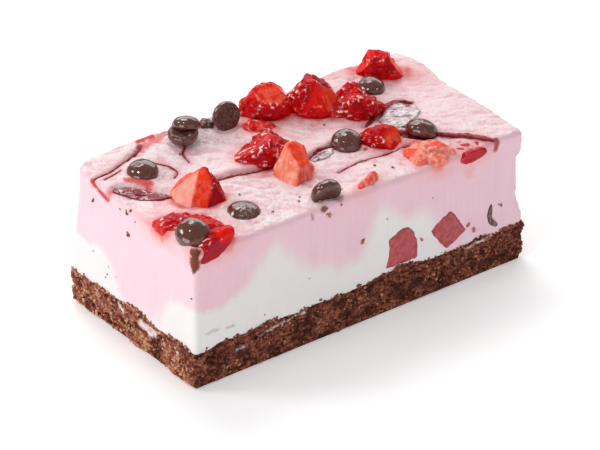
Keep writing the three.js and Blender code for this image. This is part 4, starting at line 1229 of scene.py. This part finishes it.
# Leans places over towards +X, then turns them about the upright
def turned(places, turnDegrees, leanDegrees=0):
    lean = Matrix.Rotation(math.radians(leanDegrees), 3, "Y")
    return places @ np.array(Matrix.Rotation(math.radians(turnDegrees), 3, "Z") @ lean).T


# A strawberry piece, or a chip, set down on the mousse
def buildDice(item):
    deselectAll()
    detail = 6 if item["size"][0] > 12 else 5
    bpy.ops.mesh.primitive_ico_sphere_add(subdivisions=detail, radius=1)
    piece = startPiece(item["name"] + "_flesh")
    surface, flesh, pulp, fibre = diceSurface(points(piece), item)
    middle = topAt(*item["at"]) + item["size"][2] / 2 - item["sink"]
    places = turned(surface, item.get("turn", cake["viewerTurn"]), -item.get("tilt", 0))
    movePoints(piece, insideCad(places + np.array([*item["at"], middle])))
    paint(piece, "flesh", flesh)
    paint(piece, "pulp", pulp)
    paint(piece, "fibre", fibre)
    shadeSmooth(piece)
    return piece


print("strawberries")
strawberryStuff = strawberryMaterial()
for item in berries:
    finishPiece(buildDice(item), strawberryStuff, "strawberry", item["name"])


# Strawberry dice and the sliced drop in the long side, flush with it

sideFace = -24.78
sidePieces = [
    {"name": "strawberry_side_round", "depth": 4, "corners": [
        (5.8, 12), (16, 12), (15.8, 17), (15, 19.5), (13, 21.9), (10, 22.3), (8, 21.3), (5.9, 20.4),
        (6.3, 17)]},
    {"name": "strawberry_side_diamond", "depth": 4, "corners": [
        (24.5, 11.2), (27, 11.9), (31.3, 14.2), (29.4, 16.6), (27.5, 19.5), (25.8, 21.6), (23, 20.4),
        (19.5, 17.7), (22, 14.5)]},
]


# Corners joined by straight runs, rounded off and made a little ragged
def raggedOutline(corners, step=0.45, wobble=0.16):
    outline = []
    for (startX, startZ), (endX, endZ) in zip(corners, corners[1:] + corners[:1]):
        count = max(1, round(math.hypot(endX - startX, endZ - startZ) / step))
        for number in range(count):
            t = number / count
            outline.append((blend(startX, endX, t), blend(startZ, endZ, t)))
    outline = np.array(outline)
    for _ in range(3):
        outline = (np.roll(outline, 1, 0) + 2 * outline + np.roll(outline, -1, 0)) / 4
    x, z = outline.T
    return np.c_[x + wobble * noise(x / 0.9, z / 0.9, 3), z + wobble * noise(x / 0.9, z / 0.9, 8)]


# Fits a disc drawn in rings to an outline: its own places, those on the flat and how far out each is
def fitToOutline(piece, outline):
    disc = points(piece)
    outward = np.clip(np.hypot(disc[:, 0], disc[:, 1]), 0, 1)
    angle = np.arctan2(disc[:, 1], disc[:, 0]) / (2 * math.pi) * len(outline)
    start = math.atan2(disc[0, 1], disc[0, 0]) / (2 * math.pi) * len(outline)
    rim = outline[np.rint(angle - start).astype(int) % len(outline)]
    middle = outline.mean(0)
    return disc, middle + (rim - middle) * outward[:, None], outward


# A flat outline facing the viewer, drawn in rings towards its middle and run back into the cake
def buildFlush(name, outline, depth):
    rings, shrink = 8, 0.8
    deselectAll()
    bpy.ops.mesh.primitive_circle_add(vertices=len(outline), fill_type="NGON", radius=1)
    piece = startPiece(name)
    bpy.ops.object.mode_set(mode="EDIT")
    bpy.ops.mesh.select_all(action="SELECT")
    bpy.ops.mesh.extrude_region_move(TRANSFORM_OT_translate={"value": (0, 0, 1)})
    for _ in range(rings):
        bpy.ops.mesh.extrude_region_move(TRANSFORM_OT_translate={"value": (0, 0, 0)})
        bpy.ops.transform.resize(value=(shrink, shrink, 1))
    bpy.ops.mesh.poke()
    bpy.ops.object.mode_set(mode="OBJECT")
    disc, flat, outward = fitToOutline(piece, outline)
    x, z = flat.T
    relief = 0.08 * layeredNoise(x / 1.6, z / 1.6, 4) - 0.25 * smoothStep(0.93, 1, outward)
    y = np.where(disc[:, 2] > 0.5, sideFace - relief, sideFace + depth)
    movePoints(piece, np.c_[x, y, z])
    recalculateNormals(piece)
    shadeSmooth(piece)
    return piece, outward


print("side pieces")
cutStuff = cutStrawberryMaterial()
cutMiddle, cutRim = (np.array(linearColour(code)) for code in ("#a23c44", "#86192c"))
for item in sidePieces:
    piece, outward = buildFlush(item["name"] + "_flesh", raggedOutline(item["corners"]), item["depth"])
    paint(piece, "flesh", blend(cutMiddle, cutRim, smoothStep(0.78, 1, outward)[:, None]))
    finishPiece(piece, cutStuff, "cut_strawberry", item["name"])


# Corners along part of a circle, from start to end in half turns
def arc(centreX, centreZ, radius, start, end, count=16):
    angles = np.linspace(start * math.pi, end * math.pi, count)
    return [(centreX + radius * math.cos(a), centreZ + radius * math.sin(a)) for a in angles]


chocolateStuff = chocolateMaterial()
crescent = arc(42.3, 16.2, 4.7, 0.8, 1.42) + arc(43.5, 16.9, 4.7, 1.36, 0.86)
sliver, _ = buildFlush("chocolate_side_sliver_cut", raggedOutline(crescent, 0.35, 0.08), 4)
paint(sliver, "dull", np.ones(len(sliver.data.vertices)))
paint(sliver, "speckle", np.ones(len(sliver.data.vertices)))
finishPiece(sliver, chocolateStuff, "dark_chocolate", "chocolate_side_sliver")


# Chocolate drops

dropForm = {
    "width": 10, "sides": 36, "tip": 0.016, "baseRings": 4, "baseStep": 0.09, "middle": 0.2,
    "profile": [  # radius and height, as shares of the drop's width, like the other shares here
        (0.43, 0), (0.48, 0.055), (0.5, 0.13), (0.49, 0.22), (0.44, 0.315), (0.355, 0.39), (0.25, 0.44),
        (0.13, 0.472),
    ],
}


# One drop, drawn up ring by ring from its flat base
def buildDropShape():
    size, profile = dropForm["width"] * mm, dropForm["profile"]
    deselectAll()
    bpy.ops.mesh.primitive_circle_add(
        vertices=dropForm["sides"], fill_type="NGON", radius=profile[0][0] * size)
    shape = startPiece("drop_shape")
    bpy.ops.object.mode_set(mode="EDIT")
    bpy.ops.mesh.select_all(action="SELECT")
    for (radius, height), (nextRadius, nextHeight) in zip(profile, profile[1:]):
        rise, swelling = (nextHeight - height) * size, nextRadius / radius
        bpy.ops.mesh.extrude_region_move(TRANSFORM_OT_translate={"value": (0, 0, rise)})
        bpy.ops.transform.resize(value=(swelling, swelling, 1))
    bpy.ops.mesh.poke(offset=dropForm["tip"] * size)
    bpy.ops.object.mode_set(mode="OBJECT")
    pick(shape, "polygons", lambda corners: np.abs(corners[:, 2]).max() < 0.00001)
    for _ in range(dropForm["baseRings"]):
        bpy.ops.mesh.inset(thickness=dropForm["baseStep"] * size)
    bpy.ops.mesh.poke()
    bpy.ops.object.mode_set(mode="OBJECT")
    recalculateNormals(shape)
    applyModifier(shape, "SUBSURF", levels=2, render_levels=2)
    return shape


# A copy of the drop at its own width, dented, leaned over and set down on the mousse
def buildDrop(shape, item):
    piece = shape.copy()
    piece.data = shape.data.copy()
    piece.name = piece.data.name = item["name"] + "_polished"
    bpy.context.scene.collection.objects.link(piece)
    co = points(shape) / mm / dropForm["width"]
    normal = np.array([v.normal for v in shape.data.vertices])
    atX, atY = item["at"]
    width = item["width"]
    x, y, z = (co * width).T
    base = smoothStep(-0.6, -0.95, normal[:, 2])
    dent = 0.12 * layeredNoise(x / 2.2 + atX, y / 2.2 + atY, z / 2.2, 2)
    dent = dent + 0.03 * noise(x / 0.6, y / 0.6, z / 0.6 + atX)
    hollow = 0.3 * hump(np.hypot(x, y), 0, width / 4)
    crinkle = base * (0.16 * layeredNoise(x / 1.4 + atY, y / 1.4, 4, 3) + hollow)
    co = co * width + normal * (dent - crinkle)[:, None]
    co[:, 2] -= dropForm["middle"] * width
    co = turned(co, cake["viewerTurn"] + item["towards"], item["lean"])
    movePoints(piece, co + np.array([atX, atY, topAt(atX, atY) + item["lift"]]))
    paint(piece, "dull", base)
    # Specks show on patches that face up, and on the base; their pale dots are painted glints
    patchy = smoothStep(-0.2, 0.5, noise(x / 1.8 + atX, y / 1.8, z / 1.8 + atY))
    patchy = patchy * smoothStep(0.2, 0.8, normal[:, 2])
    paint(piece, "speckle", item.get("speckle", 0.03) * patchy + 0.25 * base)
    shadeSmooth(piece)
    return piece


print("chocolate drops")
dropShape = buildDropShape()
for item in drops:
    finishPiece(buildDrop(dropShape, item), chocolateStuff, "dark_chocolate", item["name"])
bpy.data.objects.remove(dropShape)
chipPiece = buildDice(chip)
chipPiece.name = "chocolate_chip_broken"
paint(chipPiece, "dull", np.full(len(chipPiece.data.vertices), 0.8))
paint(chipPiece, "speckle", np.ones(len(chipPiece.data.vertices)))
finishPiece(chipPiece, chocolateStuff, "dark_chocolate", chip["name"])


# Sauce, laid on the skin of the mousse

# A path rounded through its corners, with a place every step or so
def smoothPath(path, step=0.35):
    corners = [np.array(p, float) for p in path]
    corners = [2 * corners[0] - corners[1], *corners, 2 * corners[-1] - corners[-2]]
    line = []
    for before, start, end, after in zip(corners, corners[1:], corners[2:], corners[3:]):
        count = max(2, round(np.linalg.norm(end - start) / step))
        bend, twist = 2 * before - 5 * start + 4 * end - after, 3 * start - before - 3 * end + after
        for t in np.arange(count) / count:
            line.append(0.5 * (2 * start + (end - before) * t + bend * t ** 2 + twist * t ** 3))
    line.append(corners[-2])
    return np.array(line)


# Moves a flat piece on to the skin of the mousse, each place raised off it by a height of its own
def layOnSkin(piece, flat, heights):
    places = []
    for (x, y), height in zip(flat, heights):
        spot, normal = onSkin((x, y, topAt(x, y)))
        places.append(spot + normal * height)
    movePoints(piece, places)


# A run of sauce: a strip along its path, rounded across, that narrows at its ends
def buildRibbon(line, across=9):
    path = smoothPath(line["path"])
    count = len(path)
    ahead = np.gradient(path, axis=0)
    ahead /= np.linalg.norm(ahead, axis=1)[:, None]
    sideways = np.c_[-ahead[:, 1], ahead[:, 0]]
    deselectAll()
    bpy.ops.mesh.primitive_grid_add(x_subdivisions=count - 1, y_subdivisions=across - 1, size=2)
    piece = startPiece("sauce_run")
    grid = points(piece)
    along = np.rint((grid[:, 0] + 1) / 2 * (count - 1)).astype(int)
    share = grid[:, 1]
    half = line["half"] * (0.9 + 0.75 * noise(along * 0.14, line["half"] * 9, 5))
    half = half + 0.1 * noise(along * 0.6, share, 3)
    half = half * np.sqrt(np.clip(np.minimum(along, count - 1 - along) / 6, 0.02, 1))
    flat = path[along] + sideways[along] * (share * half)[:, None]
    thick = min(0.45, 0.5 * line["half"] + 0.1)
    layOnSkin(piece, flat, thick * (1 - share * share) - 0.05)
    paint(piece, "froth", np.zeros(len(flat)))
    return piece


# A puddle drawn in rings towards its middle, laid on the skin, thickest away from its rim
def buildPool(item):
    outline = raggedOutline(item["corners"], 0.5, 0.25)
    rings, shrink = 14, 0.84
    deselectAll()
    bpy.ops.mesh.primitive_circle_add(vertices=len(outline), fill_type="NGON", radius=1)
    piece = startPiece(item["name"])
    bpy.ops.object.mode_set(mode="EDIT")
    bpy.ops.mesh.select_all(action="SELECT")
    for _ in range(rings):
        bpy.ops.mesh.inset(thickness=0)
        bpy.ops.transform.resize(value=(shrink, shrink, 1))
    bpy.ops.mesh.poke()
    bpy.ops.object.mode_set(mode="OBJECT")
    _, flat, outward = fitToOutline(piece, outline)
    crinkle = 0.16 * (1 - 2 * np.abs(layeredNoise(flat[:, 0] / 1.5, flat[:, 1] / 1.5, 6, 2)))
    layOnSkin(piece, flat, (0.2 + crinkle) * (1 - outward ** 4) - 0.05 * outward)
    patches = smoothStep(-0.3, 0.5, noise(*flat.T / 2, 9))
    # Froth and painted sparkles, away from the rim
    paint(piece, "froth", item["froth"] * smoothStep(1, 0.8, outward) * patches)
    return piece


# Closes a run or a puddle underneath, in the mousse
def giveThickness(piece):
    applyModifier(piece, "SOLIDIFY", thickness=0.3 * mm, offset=-1)
    recalculateNormals(piece)
    shadeSmooth(piece)


print("sauce")
runs = [buildRibbon(line) for line in sauceLines] + [buildPool(pools[0])]
deselectAll()
for run in runs:
    run.select_set(True)
bpy.context.view_layer.objects.active = runs[0]
bpy.ops.object.join()
sauce = startPiece("strawberry_sauce")
giveThickness(sauce)
finishPiece(sauce, sauceMaterial(), "strawberry")
syrupStuff = syrupMaterial()
for item in pools[1:]:
    puddle = buildPool(item)
    giveThickness(puddle)
    finishPiece(puddle, syrupStuff, "strawberry")


# Floor, light and camera

studio = {  # places in metres from the cake, sizes of the lamps in metres, power in watts
    "floor": "#fafafa", "floorGlow": 0.22, "floorSize": 8, "world": 0.37, "aim": (0, 0, 0.02),
    "lamps": {
        "key_back": {"place": (0.15, 0.5, 0.87), "size": (0.4, 0.3), "power": 2.1},
        "key_left": {"place": (-0.6, 0.5, 0.62), "size": (0.32, 0.32), "power": 2.4},
        "back_band": {"place": (0.5, 0.63, 0.54), "size": (1.4, 0.52), "power": 4.4},
        "left_panel": {"place": (-1.2, -0.35, 0.25), "size": (0.9, 0.5), "power": 3.7},
        "front_fill": {"place": (-0.1, -1.1, 0.35), "size": (1.2, 0.6), "power": 0.9},
        "spark": {"place": (-0.5, -0.1, 0.9), "size": (0.1, 0.1), "power": 1},
        "spark_front": {"place": (0.15, -0.75, 0.8), "size": (0.04, 0.04), "power": 0.35},
    },
}


# Matt white laminate that glows a little, so it stays white beside the cake
def floorMaterial():
    return endMaterial(newMaterial("Matt_white_table"), {
        "Base Color": colour(studio["floor"]), "Roughness": 0.9, "Specular IOR Level": 0.1,
        "Emission Color": (1, 1, 1, 1), "Emission Strength": studio["floorGlow"]})


# A flat lamp that faces the middle of the cake
def addSoftLight(name, place, size, power):
    bpy.ops.object.light_add(type="AREA", location=place)
    lamp = bpy.context.active_object
    lamp.name = name
    lamp.data.shape = "RECTANGLE"
    lamp.data.size, lamp.data.size_y = size
    lamp.data.energy = power
    towards = Vector(studio["aim"]) - Vector(place)
    lamp.rotation_euler = towards.to_track_quat("-Z", "Y").to_euler()


print("studio")
deselectAll()
bpy.ops.mesh.primitive_plane_add(size=studio["floorSize"])
floor = startPiece("floor")
floor.data.materials.append(floorMaterial())
world = bpy.data.worlds.new("studio_white")
bpy.context.scene.world = world
world.use_nodes = True
background = world.node_tree.nodes["Background"]
background.inputs["Color"].default_value = (1, 1, 1, 1)
background.inputs["Strength"].default_value = studio["world"]
for name, lamp in studio["lamps"].items():
    addSoftLight(name, **lamp)

photoCamera = {  # where the photo was taken from: degrees, and millimetres
    "azimuth": -38.629, "elevation": 29.967, "roll": 1.0, "place": (-389.59, -487.01, 374.63),
    "lens": 180, "sensor": 36, "clip": (0.01, 20),
}
bpy.ops.object.camera_add(location=Vector(photoCamera["place"]) * mm)
camera = bpy.context.active_object
camera.data.lens = photoCamera["lens"]
camera.data.sensor_width = photoCamera["sensor"]
camera.data.clip_start, camera.data.clip_end = photoCamera["clip"]
azimuth, elevation = math.radians(photoCamera["azimuth"]), math.radians(photoCamera["elevation"])
level = Matrix.Rotation(azimuth, 3, "Z") @ Matrix.Rotation(math.pi / 2 - elevation, 3, "X")
camera.rotation_euler = (level @ Matrix.Rotation(math.radians(photoCamera["roll"]), 3, "Z")).to_euler()
bpy.context.scene.camera = camera
bpy.context.scene.view_settings.view_transform = "Standard"
